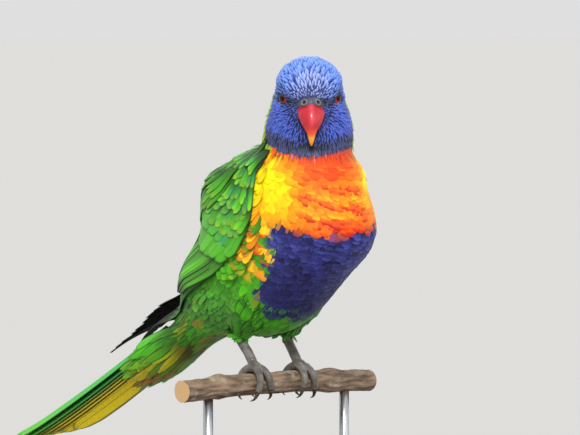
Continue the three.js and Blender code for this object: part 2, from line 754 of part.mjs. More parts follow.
function birdGroup() {
  const group = new THREE.Group();
  group.position.set(0, -PERCH_AHEAD, PERCH_HEIGHT);
  group.add(headGroup());
  group.add(meshOf("neck", makeNeck(), COLOURS.neckBlue));
  group.add(meshOf("torso", makeTorso(), COLOURS.breastOrange));
  group.add(meshOf("tail", makeTail(), COLOURS.tailGreen));
  for (const [side, suffix] of SIDES) {
    group.add(meshOf(`wing_${suffix}`, makeWing(side), COLOURS.wingGreen));
    group.add(meshOf(`thigh_${suffix}`, makeThigh(side), COLOURS.thighGreen));
    group.add(meshOf(`foot_${suffix}`, makeFoot(side), COLOURS.footGrey));
    for (const toe of TOES) {
      group.add(meshOf(`claw_${toe.name}_${suffix}`, makeClaw(side, toe), COLOURS.clawDark, 0.4));
    }
  }
  group.add(meshOf("perch", makePerch(), COLOURS.bark));
  return group;
}

const lorikeet = new THREE.Group();
lorikeet.add(birdGroup());
for (const [side, suffix] of SIDES) {
  lorikeet.add(meshOf(`stand_rod_${suffix}`, makeRod(side), COLOURS.steel, 0.3, 1));
}
lorikeet.add(meshOf("stand_base", makeBase(), COLOURS.darkWood, 0.5));

export default lorikeet;
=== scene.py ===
# %% [markdown]
# # A rainbow lorikeet on a display stand
# The imported model gives the bird's solids in metres, with Z up. This lesson dresses them: a coat of
# small feathers over one skin, detailed wing and tail feathers, a horn bill, eyes, feet and a stand.
# The frame is loaded first.

# %% Load the frame
import math
import bmesh
import bpy
import numpy as np
from mathutils import Matrix, Vector
from mathutils.bvhtree import BVHTree


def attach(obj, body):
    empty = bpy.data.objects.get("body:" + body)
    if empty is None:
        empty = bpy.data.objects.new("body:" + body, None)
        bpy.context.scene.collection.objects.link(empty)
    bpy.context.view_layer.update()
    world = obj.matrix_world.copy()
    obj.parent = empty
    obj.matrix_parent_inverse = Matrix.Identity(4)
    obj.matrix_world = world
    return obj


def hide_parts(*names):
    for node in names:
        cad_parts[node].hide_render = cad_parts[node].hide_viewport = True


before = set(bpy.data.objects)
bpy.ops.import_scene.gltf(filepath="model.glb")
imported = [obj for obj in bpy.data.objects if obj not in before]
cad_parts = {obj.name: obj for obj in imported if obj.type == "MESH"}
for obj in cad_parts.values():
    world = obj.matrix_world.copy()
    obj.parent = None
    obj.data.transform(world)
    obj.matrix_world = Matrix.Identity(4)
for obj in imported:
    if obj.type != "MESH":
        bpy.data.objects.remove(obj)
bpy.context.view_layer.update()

# %% [markdown]
# ## Sizes and colours
# The bird's own places are in millimetres from the middle of the branch that it grips, as in the
# source of the solids. Colours are written as the eye reads them and turned into linear light,
# because a shader works in linear light.

# %% Sizes
MM = 0.001
BIRD_AT = np.array([0.0, -12.0, 46.0])
HEAD_AT = np.array([0.0, -21.0, 124.0])
HEAD_YAW = math.radians(-39.5)
HEAD_PITCH = math.radians(12)
SIDES = [(1, "left"), (-1, "right")]

BODY_AXIS = [
    (-21, 109), (-19.5, 98), (-14.5, 84), (-5, 68), (11, 50),
    (31, 33.5), (55, 20.5), (80, 9.5), (110, -5), (150, -25),
]


def linear(code):
    """A colour written as six hex digits, as linear red, green and blue."""
    values = np.array([int(code[i:i + 2], 16) / 255 for i in (0, 2, 4)])
    low = values / 12.92
    high = ((values + 0.055) / 1.055) ** 2.4
    return np.where(values <= 0.04045, low, high)


def rgba(code):
    return (*linear(code), 1.0)


def colours(codes):
    return [linear(code) for code in codes.split()]


# %% Colours of the plumage, from the crown to the tail
CROWN_BLUE, CROWN_TIP, CROWN_SHAFT = colours("2a4fc0 6a90ec a4bcff")
FOREHEAD_BLUE, FOREHEAD_TIP = colours("6474c8 a6b4f0")
CHEEK_BLUE, CHEEK_TIP = colours("0e1c68 3c58c8")
HOOD_SLATE, SLATE_TIP = colours("110f22 211e38")
BAND_RED, SCALLOP_RED = colours("fb4406 c82604")
BREAST_ORANGE, BREAST_GOLD, BREAST_YELLOW = colours("ff7f02 fda508 ffe400")
BELLY_INDIGO, BELLY_DARK, BELLY_EDGE = colours("26276c 121240 40449c")
FLANK_YELLOW, FLANK_RED, THIGH_GREEN = colours("fdc01c e2451c 3a8c18")
VENT_GREEN, VENT_YELLOW, VENT_ORANGE = colours("48ac10 d9c81c c4681c")
COLLAR_LIME, BACK_GREEN, BACK_DARK = colours("b4d61e 44ac20 22781e")
COVERT_GREEN, COVERT_TEAL = colours("3fa034 2f8c54")
WING_GREEN, FLIGHT_GREEN = colours("50b418 5cc60e")
SHAFT_GREEN, TIP_BLACK = colours("1c4a10 10140f")
TAIL_GREEN, TAIL_TEAL = colours("2fae24 16964e")
TAIL_OLIVE, TAIL_EDGE = colours("e8d20c 1d2a08")

# %% [markdown]
# ## The form of the body as numbers
# The solids come from rounded masses that flow into one another. The same few formulas are written
# here with numpy, so that a thousand places can be asked at once how far out the body reaches.
# Sampling the solid's mesh would also work, but a formula has no facets.


# %% Rounded masses and their blend
def mass(points, at, half, pitch=0.0, paired=False):
    """Signed distance, roughly, to an ellipsoid pitched about X."""
    cos = math.cos(math.radians(pitch))
    sin = math.sin(math.radians(pitch))
    x = (np.abs(points[:, 0]) if paired else points[:, 0]) - at[0]
    y0 = points[:, 1] - at[1]
    z0 = points[:, 2] - at[2]
    y = y0 * cos + z0 * sin
    z = z0 * cos - y0 * sin
    near = np.sqrt((x / half[0]) ** 2 + (y / half[1]) ** 2 + (z / half[2]) ** 2)
    steep = np.sqrt((x / half[0] ** 2) ** 2 + (y / half[1] ** 2) ** 2 + (z / half[2] ** 2) ** 2)
    return near * (near - 1) / np.maximum(steep, 1e-6)


def blend(a, b, width):
    """Two distances joined with a rounded crease."""
    near = np.maximum(width - np.abs(a - b), 0) / width
    return np.minimum(a, b) - near * near * width * 0.25


HEAD_MASSES = [
    ((0, 1, 1), (13.4, 17.5, 16), 0, False, 1),
    ((0, -3, 8.5), (12.8, 13, 9), 0, False, 7),
    ((8, -9, 8), (4, 6, 3), 0, True, 5),
    ((6.2, -4, -7), (9, 11, 11), 0, True, 8),
    ((0, -9, -9), (9.5, 8, 8), 0, False, 8),
]
BODY_MASSES = [
    ((0, -21, 108), (18.5, 18.5, 14), 0, False, 10),
    ((0, -16, 93), (24, 29, 11), 0, False, 9),
    ((0, -12, 71), (28.5, 43, 28), 4, False, 14),
    ((0, 8, 80), (23, 20, 19.5), -30, False, 12),
    ((0, 2, 49), (27, 35, 27), -30, False, 14),
    ((0, 30, 42), (20.5, 24.5, 17), -42, False, 14),
    ((0, 62, 15.5), (12, 36, 9.5), -28, False, 12),
]
TAIL_ROOM = ((0, 94, 2.8), (8.8, 50, 7.6), -28)

turn_z = np.array(Matrix.Rotation(HEAD_YAW, 3, "Z"))
turn_x = np.array(Matrix.Rotation(HEAD_PITCH, 3, "X"))
HEAD_TURN = turn_z @ turn_x


def into_head(points):
    return (points - HEAD_AT) @ HEAD_TURN


def out_of_head(points):
    return np.asarray(points) @ HEAD_TURN.T + HEAD_AT


def body_field(points):
    """How far points are outside the head and body."""
    local = into_head(points)
    distance = np.full(len(points), 1e9)
    for at, half, pitch, paired, width in HEAD_MASSES:
        distance = blend(distance, mass(local, at, half, pitch, paired), width)
    for at, half, pitch, paired, width in BODY_MASSES:
        distance = blend(distance, mass(points, at, half, pitch, paired), width)
    return distance


def wing_field(points):
    return blend(body_field(points), mass(points, *TAIL_ROOM), 8)


# %% Helpers for numbers
def smooth(value, low, high):
    share = np.clip((np.asarray(value, float) - low) / (high - low), 0, 1)
    return share * share * (3 - 2 * share)


def mix(a, b, share):
    return a + (b - a) * share


def tint(a, b, share):
    """Colours a and b mixed by an array of shares."""
    return a + (b - a) * np.asarray(share)[:, None]


def read(pairs, at):
    places, values = zip(*pairs)
    return np.interp(at, places, values)


def lengths(vectors):
    return np.linalg.norm(vectors, axis=-1)


def unit(vectors):
    vectors = np.asarray(vectors, float)
    return vectors / np.maximum(lengths(vectors)[..., None], 1e-9)


def bell(away, width):
    """One in the middle, falling softly to nothing beyond the width."""
    return np.exp(-(away / width) ** 2)


def full_turn(count):
    return np.linspace(0, 2 * np.pi, count, endpoint=False)


def varied(seed):
    """A repeatable small difference, from -1 to 1."""
    wave = np.sin(np.asarray(seed, float) * 127.1 + 11.7) * 43758.5453
    return (wave - np.floor(wave)) * 2 - 1


def ripple(points, size, seed=0.0):
    """A soft irregular pattern over places in millimetres, about -1 to 1."""
    p = points / size
    a = np.sin(p[:, 0] * 1.9 + p[:, 1] * 1.1 + seed) * np.cos(p[:, 2] * 1.7 - p[:, 1] * 0.8 + seed * 2)
    b = np.sin(p[:, 2] * 3.1 + p[:, 0] * 2.3 - seed) * np.cos(p[:, 1] * 2.9 + p[:, 0] * 0.7 + seed)
    return 0.6 * a + 0.4 * b


def ragged_edge(points):
    """The unevenness of the markings' borders."""
    return ripple(points, 4.0, 1.3)


def feather_to_feather(points):
    """The finer unevenness from one feather to the next."""
    return ripple(points, 2.2, 4.1)


# %% [markdown]
# ## The body axis
# A curve runs from the neck to beyond the wing tips. A place on the bird is then told by how far
# along this axis it lies and by its angle round it, which is also how the wings are laid out.


# %% The curve through its points
def smooth_curve(knots, steps=80):
    """A centripetal curve through the knots, as many close points."""
    knots = np.asarray(knots, float)
    before = 2 * knots[0] - knots[1]
    after = 2 * knots[-1] - knots[-2]
    guide = np.vstack([before, knots, after])
    points = []
    for i in range(len(knots) - 1):
        p0, p1, p2, p3 = guide[i:i + 4]
        d0, d1, d2 = [max(np.sum(d * d) ** 0.25, 1e-4) for d in (p1 - p0, p2 - p1, p3 - p2)]
        start = ((p1 - p0) / d0 - (p2 - p0) / (d0 + d1) + (p2 - p1) / d1) * d1
        end = ((p2 - p1) / d1 - (p3 - p1) / (d1 + d2) + (p3 - p2) / d2) * d1
        u = np.linspace(0, 1, steps, endpoint=False)[:, None]
        bend = -3 * p1 + 3 * p2 - 2 * start - end
        twist = 2 * p1 - 2 * p2 + start + end
        points.append(p1 + start * u + bend * u ** 2 + twist * u ** 3)
    points.append(knots[-1:])
    return np.vstack(points)


class Path:
    """A curve that can be asked for its place and direction at a distance along it."""

    def __init__(self, knots):
        self.points = smooth_curve(knots)
        steps = lengths(np.diff(self.points, axis=0))
        self.along = np.concatenate([[0], np.cumsum(steps)])
        self.length = self.along[-1]
        slope = np.gradient(self.points, self.along, axis=0)
        self.slope = unit(slope)

    def at(self, along):
        return np.stack([np.interp(along, self.along, self.points[:, k]) for k in range(3)], -1)

    def direction(self, along):
        return np.stack([np.interp(along, self.along, self.slope[:, k]) for k in range(3)], -1)

    def back(self, along):
        """The direction across the curve, in its own plane, towards the bird's back."""
        slope = self.direction(along)
        return np.stack([np.zeros_like(slope[..., 0]), -slope[..., 2], slope[..., 1]], -1)


axis = Path([(0, y, z) for y, z in BODY_AXIS])
print("body axis:", round(axis.length, 1), "mm")


# %% Places round the axis
def outward(along, side, angle):
    """The direction away from the axis, at an angle from straight sideways towards the back."""
    turn = np.radians(angle)[..., None]
    return np.cos(turn) * [side, 0, 0] + axis.back(along) * np.sin(turn)


REACH_STEP = 1.5
REACH_STEPS = 40
REACH_HALVINGS = 9
TABLE_STEP = 0.5
PART_SIZE = 4000


def reach(field, start, direction):
    """How far out along each direction the field's surface lies."""
    low = np.zeros(len(start))
    found = np.zeros(len(start), bool)
    high = np.full(len(start), REACH_STEPS * REACH_STEP)
    for step in np.arange(1, REACH_STEPS + 1) * REACH_STEP:
        outside = field(start + direction * step) > 0
        new = outside & ~found
        high[new] = step
        low[new] = step - REACH_STEP
        found |= outside
    for _ in range(REACH_HALVINGS):
        middle = (low + high) / 2
        outside = field(start + direction * middle[:, None]) > 0
        high = np.where(outside, middle, high)
        low = np.where(outside, low, middle)
    return (low + high) / 2


def place_on_body(points):
    """For each point, how far along the axis it is, and its angle from the belly's middle line."""
    table = np.arange(0, axis.length, TABLE_STEP)
    at = axis.at(table)
    slope = axis.direction(table)
    best = np.zeros(len(points), int)
    for start in range(0, len(points), PART_SIZE):
        part = points[start:start + PART_SIZE]
        offset = part[:, None, :] - at[None]
        beside = np.abs(np.einsum("ijk,jk->ij", offset, slope))
        away = lengths(offset)
        best[start:start + PART_SIZE] = np.argmin(beside + 0.02 * away, axis=1)
    along = table[best]
    offset = points - axis.at(along)
    behind = np.einsum("ij,ij->i", offset, axis.back(along))
    return along, np.degrees(np.arctan2(offset[:, 0], -behind))


def beyond_neck(points):
    """How far places lie past the start of the axis. It is less than nothing in the head."""
    return (points - axis.at(0.0)) @ axis.direction(0.0)


def stations(points):
    """Along and around the axis, and the station, which goes on into the head."""
    along, around = place_on_body(points)
    past_neck = beyond_neck(points)
    return along, around, np.where(past_neck < 0, past_neck, along)


# %% [markdown]
# ## Making meshes and nodes
# These helpers turn arrays of millimetre places into mesh objects, and build node trees from short
# lines. Every finished piece keeps its object at the origin with its place in its mesh, and rides
# on the model's one body.


# %% Mesh helpers
def to_metres(points):
    return (np.asarray(points, float) + BIRD_AT) * MM


def head_metres(points):
    return to_metres(out_of_head(points))


def new_object(name, mesh):
    piece = bpy.data.objects.new(name, mesh)
    bpy.context.scene.collection.objects.link(piece)
    return piece


def mesh_from(name, points, faces):
    mesh = bpy.data.meshes.new(name)
    mesh.from_pydata([tuple(point) for point in points], [], faces)
    mesh.shade_smooth()
    mesh.update()
    return mesh


def face_outward(mesh):
    """Merges doubles and turns all faces of closed shells outward."""
    work = bmesh.new()
    work.from_mesh(mesh)
    bmesh.ops.remove_doubles(work, verts=work.verts, dist=1e-7)
    bmesh.ops.recalc_face_normals(work, faces=work.faces)
    work.to_mesh(mesh)
    work.free()


def store(mesh, name, values, kind="FLOAT", domain="POINT"):
    """Keeps an array of numbers, vectors or colours on a mesh."""
    layer = mesh.attributes.new(name, kind, domain)
    values = np.asarray(values, np.float32)
    if kind == "FLOAT_COLOR":
        values = np.column_stack([values, np.ones(len(values))])
    field = {"FLOAT_COLOR": "color", "FLOAT_VECTOR": "vector"}.get(kind, "value")
    layer.data.foreach_set(field, values.ravel())


def add_map(mesh, name, places):
    layer = mesh.uv_layers.new(name=name)
    layer.data.foreach_set("uv", places.astype(np.float32).ravel())


def whole_numbers(items, name):
    values = np.empty(len(items), int)
    items.foreach_get(name, values)
    return values


def coordinates(mesh, kind="co"):
    values = np.empty(len(mesh.vertices) * 3, np.float32)
    mesh.vertices.foreach_get(kind, values)
    return values.reshape(-1, 3).astype(float)


def move_points(mesh, points):
    mesh.vertices.foreach_set("co", np.asarray(points, np.float32).ravel())
    mesh.update()


def normals_of(mesh):
    return coordinates(mesh, "normal")


def closed_piece(name, metres, faces, **numbers):
    """A closed form with its faces turned outward, and any numbers kept at its points."""
    mesh = mesh_from(name, metres, faces)
    for label, values in numbers.items():
        store(mesh, label, values)
    face_outward(mesh)
    return new_object(name, mesh)


# %% Finished pieces
def applied(piece):
    """Replaces a piece's mesh by what its modifiers make of it."""
    graph = bpy.context.evaluated_depsgraph_get()
    result = bpy.data.meshes.new_from_object(piece.evaluated_get(graph))
    piece.modifiers.clear()
    piece.data = result
    return result


def finished(piece, slot, *nodes, material=None):
    """Puts a piece on the body, gives it its finish and hides the solids that it stands for."""
    if material:
        piece.data.materials.clear()
        piece.data.materials.append(material)
    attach(piece, "root")
    if nodes:
        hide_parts(*nodes)
    triangles = sum(len(face.vertices) - 2 for face in piece.data.polygons)
    print(f"{piece.name}: {triangles} triangles")


# %% Node helpers
def node(tree, kind, inputs=None, **settings):
    """Adds a node, sets its options, and links or sets its inputs by name or number."""
    new = tree.nodes.new(kind)
    for name, value in settings.items():
        setattr(new, name, value)
    for key, value in (inputs or {}).items():
        if isinstance(value, bpy.types.NodeSocket):
            tree.links.new(value, new.inputs[key])
        else:
            new.inputs[key].default_value = value
    return new


def math_node(tree, operation, a, b=0.0, c=0.0):
    return node(tree, "ShaderNodeMath", {0: a, 1: b, 2: c}, operation=operation).outputs[0]


def times(tree, a, b):
    return math_node(tree, "MULTIPLY", a, b)


def times_plus(tree, a, b, c):
    return math_node(tree, "MULTIPLY_ADD", a, b, c)


def vector_node(tree, operation, a, b=(0, 0, 0)):
    key = "Scale" if operation == "SCALE" else 1
    result = "Value" if operation == "LENGTH" else "Vector"
    return node(tree, "ShaderNodeVectorMath", {0: a, key: b}, operation=operation).outputs[result]


def ramp_node(tree, value, low, high, to_low=0.0, to_high=1.0):
    inputs = {0: value, 1: low, 2: high, 3: to_low, 4: to_high}
    return node(tree, "ShaderNodeMapRange", inputs, interpolation_type="SMOOTHSTEP").outputs[0]


def mix_node(tree, share, a, b, how="MIX"):
    settings = {"data_type": "RGBA", "blend_type": how, "clamp_result": False}
    return node(tree, "ShaderNodeMix", {0: share, 6: a, 7: b}, **settings).outputs[2]


def noise_node(tree, where, scale, detail=3.0, rough=0.55):
    inputs = {"Vector": where, "Scale": scale, "Detail": detail, "Roughness": rough}
    return node(tree, "ShaderNodeTexNoise", inputs).outputs["Fac"]


def attribute_node(tree, name, result="Color"):
    return node(tree, "ShaderNodeAttribute", attribute_name=name).outputs[result]


def object_place(tree):
    return node(tree, "ShaderNodeTexCoord").outputs["Object"]


def mapped_place(tree, where, **change):
    return node(tree, "ShaderNodeMapping", {"Vector": where, **change}).outputs[0]


def new_group(name, kind, inputs, outputs):
    """A node group with named inputs and outputs, and its two end nodes."""
    tree = bpy.data.node_groups.new(name, kind)
    for label, socket, value in inputs:
        made = tree.interface.new_socket(name=label, in_out="INPUT", socket_type=socket)
        if value is not None:
            made.default_value = value
    for label, socket in outputs:
        tree.interface.new_socket(name=label, in_out="OUTPUT", socket_type=socket)
    return tree, tree.nodes.new("NodeGroupInput").outputs, tree.nodes.new("NodeGroupOutput").inputs


# %% [markdown]
# ## Shader effects that several materials share
# A feather is one shaft with two vanes of fine barbs that slant towards the tip. One node group
# colours it: the plume's own colour, another towards the tip, a paler shaft, a darker rim that is
# partly the feather's own edge and partly painted shade by its neighbour, painted shade in the
# barbs' grooves and at the covered root, and barbs as height. A second group gives soft unevenness
# for skin, horn, bark and wood. The alternative is to repeat the same nodes in each material, which
# is hard to keep alike.

# %% Feather group
FLOAT = "NodeSocketFloat"
COLOUR = "NodeSocketColor"
VECTOR = "NodeSocketVector"


FEATHER_COLOURS = ["Plume", "Fringe", "Shaft", "Rim"]
FEATHER_AMOUNTS = [
    "Tint", "Fringe start", "Fringe end", "Shaft width", "Shaft strength", "Rim strength",
    "Barbs", "Root shade", "Root end",
]


def feather_group():
    inputs = [(label, COLOUR, (0.1, 0.5, 0.1, 1)) for label in FEATHER_COLOURS]
    inputs += [(label, FLOAT, 0.5) for label in FEATHER_AMOUNTS]
    inputs.append(("Blade", VECTOR, None))
    outputs = [("Color", COLOUR), ("Height", FLOAT), ("Roughness", FLOAT)]
    tree, given, made = new_group("Feather vane", "ShaderNodeTree", inputs, outputs)
    split = node(tree, "ShaderNodeSeparateXYZ", {0: given["Blade"]}).outputs
    beside = math_node(tree, "ABSOLUTE", math_node(tree, "SUBTRACT", split[0], 0.5))
    beside = times(tree, beside, 2.0)
    ragged = noise_node(tree, given["Blade"], 9.0, 2.0)
    along = times_plus(tree, ragged, 0.16, split[1])
    along = math_node(tree, "SUBTRACT", along, 0.08)
    fringe = ramp_node(tree, along, given["Fringe start"], given["Fringe end"])
    colour = mix_node(tree, fringe, given["Plume"], given["Fringe"])
    shaft = times(tree, ramp_node(tree, beside, given["Shaft width"], 0.0), given["Shaft strength"])
    colour = mix_node(tree, shaft, colour, given["Shaft"])
    # Dark rim along the sides and the end of each feather: partly the feather's own dark edge, partly
    # painted shade in the gap by its neighbour.
    side_edge = ramp_node(tree, beside, 0.7, 0.94)
    edge = math_node(tree, "MAXIMUM", side_edge, ramp_node(tree, along, 0.93, 1.03))
    colour = mix_node(tree, times(tree, edge, given["Rim strength"]), colour, given["Rim"])
    slant = times_plus(tree, beside, -0.18, split[1])
    wave = math_node(tree, "SINE", times(tree, slant, given["Barbs"]))
    fine = noise_node(tree, given["Blade"], 30.0, 2.0)
    height = times_plus(tree, wave, 0.35, fine)
    shade = times_plus(tree, given["Tint"], 0.46, 0.76)
    # Painted shade: the colour is darkened in the grooves between the barbs, on top of each feather's own
    # random tone.
    shade = times(tree, shade, times_plus(tree, height, 0.16, 0.92))
    # Painted shade: the root of each feather, which the feathers above cover, is darkened.
    root = ramp_node(tree, split[1], 0.1, given["Root end"], given["Root shade"], 1.0)
    shade = times(tree, shade, root)
    bright = node(tree, "ShaderNodeCombineColor", {0: shade, 1: shade, 2: shade}).outputs[0]
    colour = mix_node(tree, 1.0, colour, bright, "MULTIPLY")
    tree.links.new(colour, made["Color"])
    tree.links.new(height, made["Height"])
    tree.links.new(times_plus(tree, fine, 0.2, 0.42), made["Roughness"])
    return tree


FEATHER_GROUP = feather_group()


# %% Unevenness group
def uneven_group():
    inputs = [
        ("Color", COLOUR, (0.5, 0.5, 0.5, 1)),
        ("Dark", COLOUR, (0.2, 0.2, 0.2, 1)),
        ("Where", VECTOR, None),
        ("Scale", FLOAT, 200.0),
        ("Amount", FLOAT, 0.5),
    ]
    outputs = [("Color", COLOUR), ("Height", FLOAT), ("Mask", FLOAT)]
    tree, given, made = new_group("Soft unevenness", "ShaderNodeTree", inputs, outputs)
    wide = noise_node(tree, given["Where"], given["Scale"], 5.0, 0.5)
    fine = noise_node(tree, given["Where"], times(tree, given["Scale"], 6.0), 4.0, 0.5)
    mask = ramp_node(tree, wide, 0.35, 0.7)
    share = times(tree, mask, given["Amount"])
    tree.links.new(mix_node(tree, share, given["Color"], given["Dark"]), made["Color"])
    tree.links.new(times_plus(tree, fine, 0.5, wide), made["Height"])
    tree.links.new(mask, made["Mask"])
    return tree


UNEVEN_GROUP = uneven_group()


def uneven(tree, colour, dark, where, scale, amount):
    """Places the unevenness group, and gives its colour, height and mask."""
    inputs = {"Color": colour, "Dark": dark, "Where": where, "Scale": scale, "Amount": amount}
    return node(tree, "ShaderNodeGroup", inputs, node_tree=UNEVEN_GROUP).outputs


# %% A material with its shader
def new_material(name, roughness=0.5, **sockets):
    """A material with one shader. Plain numbers are set on the shader's own sockets."""
    material = bpy.data.materials.new(name)
    material.use_nodes = True
    tree = material.node_tree
    tree.nodes.clear()
    shader = node(tree, "ShaderNodeBsdfPrincipled", {"Roughness": roughness})
    for label, value in sockets.items():
        shader.inputs[label.replace("_", " ")].default_value = value
    out = node(tree, "ShaderNodeOutputMaterial", {"Surface": shader.outputs[0]})
    out.is_active_output = True
    return material, tree, shader


def dress(tree, shader, colour, height, distance, strength, roughness=None):
    """Leads a colour, a relief and perhaps a changing roughness to the shader."""
    tree.links.new(colour, shader.inputs["Base Color"])
    if roughness is not None:
        tree.links.new(roughness, shader.inputs["Roughness"])
    inputs = {"Height": height, "Distance": distance, "Strength": strength}
    tree.links.new(node(tree, "ShaderNodeBump", inputs).outputs[0], shader.inputs["Normal"])


def feather_material(name, shaft, rim, shaft_own=0.0, **values):
    """A feather's finish. Its colours come from the plume that it grows in, the shaft's in part."""
    material, tree, shader = new_material(name, Sheen_Weight=0.06, Specular_IOR_Level=0.22)
    fringe = attribute_node(tree, "Fringe")
    inputs = {
        "Plume": attribute_node(tree, "Plume"),
        "Fringe": fringe,
        "Tint": attribute_node(tree, "Tint", "Fac"),
        "Blade": node(tree, "ShaderNodeUVMap", uv_map="Blade").outputs["UV"],
        "Shaft": mix_node(tree, shaft_own, (*shaft, 1), fringe),
        "Rim": (*rim, 1),
    }
    for label, value in values.items():
        inputs[label.replace("_", " ")] = value
    made = node(tree, "ShaderNodeGroup", inputs, node_tree=FEATHER_GROUP).outputs
    dress(tree, shader, made["Color"], made["Height"], 0.00012, 0.5, made["Roughness"])
    return material


# %% [markdown]
# ## The skin
# Under a real bird's feathers is one unbroken skin. The flesh solids are copied, swelled a little so
# that they meet, and remeshed into one surface. The head is measured out from its rounded masses
# instead, because its solid has sockets, lids and rooms for the horn. All points are then set on the
# masses, which takes away facets and seams, and drawn in by the depth of the coat so that the
# feathers end where the solids do. Building a new body by hand could drift from the solids.

# %% One surface from the flesh solids
FLESH = ["head", "neck", "torso", "thigh_left", "thigh_right"]
SWELL = 0.45
VOXEL = 0.95
SKIN_PASSES = 4
HEAD_MIDDLE = (0, -1, 0)
NECK_OVERLAP = 2.5


def merged_copy(name):
    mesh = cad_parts[name].data.copy()
    face_outward(mesh)
    return mesh


def remeshed(piece, voxel, passes):
    """Makes one even closed surface of a piece, with voxels in millimetres, and smooths it."""
    remesh = piece.modifiers.new("One surface", "REMESH")
    remesh.mode = "VOXEL"
    remesh.voxel_size = voxel * MM
    remesh.use_smooth_shade = True
    even = piece.modifiers.new("Even", "SMOOTH")
    even.factor = 0.5
    even.iterations = passes
    applied(piece)
    return piece


def head_form():
    """The head as one closed form, measured outward from its middle down to the neck."""
    work = bmesh.new()
    bmesh.ops.create_icosphere(work, subdivisions=6, radius=1)
    mesh = bpy.data.meshes.new("head form")
    work.to_mesh(mesh)
    work.free()
    direction = coordinates(mesh)
    start = out_of_head([HEAD_MIDDLE])
    fall = direction @ axis.direction(0.0)
    to_neck = np.where(fall > 0.02, (NECK_OVERLAP - beyond_neck(start)) / np.maximum(fall, 0.02), 60)
    start = np.repeat(start, len(direction), axis=0)
    out = np.minimum(reach(body_field, start, direction), to_neck)
    move_points(mesh, to_metres(start + direction * out[:, None]))
    return mesh


def skin_surface():
    work = bmesh.new()
    work.from_mesh(head_form())
    for name in FLESH[1:]:
        mesh = merged_copy(name)
        move_points(mesh, coordinates(mesh) + normals_of(mesh) * SWELL * MM)
        work.from_mesh(mesh)
        bpy.data.meshes.remove(mesh)
    mesh = bpy.data.meshes.new("skin")
    work.to_mesh(mesh)
    work.free()
    return remeshed(new_object("skin", mesh), VOXEL, SKIN_PASSES)


skin = skin_surface()
print("skin points:", len(skin.data.vertices))

# %% [markdown]
# Each place on the skin is told apart by where it lies on the bird: its distance along the body
# axis, its angle from the belly's middle line, and its place in the turned head. The regions of the
# coat, the lie of the feathers and the markings are all worked out from these.

# %% Nearness to horn, eyes and legs
EYE_AT = np.array([9.9, -9.6, 3.2])
EYE_FACING = unit([1, -0.75, 0.02])
EYE_RADIUS = 3.5
CERE_AT = np.array([0, -15.5, 2.9])
CERE_HALF = np.array([5.9, 4.6, 2.9])
NECK_START = 0.5


def tree_of(*meshes):
    points = []
    faces = []
    for mesh in meshes:
        start = len(points)
        points += [tuple(v.co) for v in mesh.vertices]
        faces += [tuple(start + i for i in face.vertices) for face in mesh.polygons]
    return BVHTree.FromPolygons(points, faces)


def nearest(tree, places):
    """The closest points of a surface to many places, and how far off they are."""
    found = [tree.find_nearest(Vector(place)) for place in to_metres(places)]
    at = np.array([tuple(hit[0]) for hit in found]) / MM - BIRD_AT
    return at, np.array([hit[3] for hit in found]) / MM


def folded(local):
    """Places in the head, with its right half laid on its left."""
    return np.column_stack([np.abs(local[:, 0]), local[:, 1:]])


def beside_eye(local):
    """How far places in the head are from the line on which the nearer eye looks out."""
    offset = folded(local) - EYE_AT
    ahead = offset @ EYE_FACING
    beside = lengths(offset - ahead[:, None] * EYE_FACING)
    return np.where(ahead > -2.0, beside, 99)


skin_at = coordinates(skin.data) / MM - BIRD_AT
on_head = beyond_neck(skin_at) < NECK_START
off_body = body_field(skin_at)
on_thigh = (off_body > 1.6) & (skin_at[:, 2] < 47) & (np.abs(skin_at[:, 0]) > 3)
horn = tree_of(*[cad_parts[name].data for name in ("bill_upper", "bill_lower")])
horn_gap = np.full(len(skin_at), 99.0)
horn_gap[on_head] = nearest(horn, skin_at[on_head])[1]
from_cere = into_head(skin_at) - CERE_AT
cere_gap = (lengths(from_cere / CERE_HALF) - 1) * 4
root_room = np.minimum(horn_gap, cere_gap + 1.5)
horn_gap = np.minimum(horn_gap, cere_gap)
eye_depth = -body_field(out_of_head(EYE_AT[None]))[0]
print("eye centre under the surface:", round(eye_depth, 2), "mm")


# %% Skin set on the rounded masses and drawn in
def slope_of(field, points):
    """The direction in which a field grows fastest at each point."""
    rise = [field(points + step) - field(points - step) for step in np.eye(3) * 0.2]
    return unit(np.stack(rise, -1))


round_share = np.where(on_head, 1.0, 1 - smooth(np.abs(off_body), 0.8, 1.7))
round_share = round_share * smooth(horn_gap, 0.2, 1.2)
for _ in range(3):
    step = slope_of(body_field, skin_at) * body_field(skin_at)[:, None]
    skin_at = skin_at - step * round_share[:, None]
move_points(skin.data, to_metres(skin_at))
skin_out = normals_of(skin.data)

eye_gap = beside_eye(into_head(skin_at))
depth = np.where(on_head, 0.75, 0.95)
depth = mix(0.15, depth, smooth(horn_gap, 0.6, 3.5))
depth = depth + 0.25 * (1 - smooth(eye_gap, 2.4, 4.0))
depth = depth + SWELL * (1 - round_share)
skin_at = skin_at - skin_out * depth[:, None]
move_points(skin.data, to_metres(skin_at))
skin_out = normals_of(skin.data)
skin_tree = tree_of(skin.data)
along, around, station = stations(skin_at)
in_head = into_head(skin_at)
eye_gap = beside_eye(in_head)

# %% [markdown]
# ## Borders of the markings
# Each border is a short list of readings of how far along the axis it lies at each angle, so the
# coat and the skin under it share the same marks. The hood's own border also ends its feathers.

# %% Borders
HOOD_END = [
    (-180, 5), (-120, 4.2), (-100, 5), (-75, 6.8), (-42, 8), (-15, 6.2),
    (8, 3.6), (30, 2.6), (70, 3.4), (180, 5),
]
RED_BAND = [(-108, 1), (-92, 5), (-72, 6.2), (-42, 6.6), (-20, 8.5), (15, 9), (45, 7), (75, 3), (90, 1)]
BREAST_MIDDLE = [(5, -28), (18, -26), (28, -18)]
YELLOW_STREAK = [(118, 88), (139, 50)]
BELLY_SIDE = [(34, 59), (46, 49), (60, 45)]
BREAST_END = [
    (-90, 38), (-64, 34.6), (-46, 30.6), (-28, 29), (-14, 27), (0, 24.8),
    (22, 24.4), (45, 24.4), (62, 25), (90, 30),
]


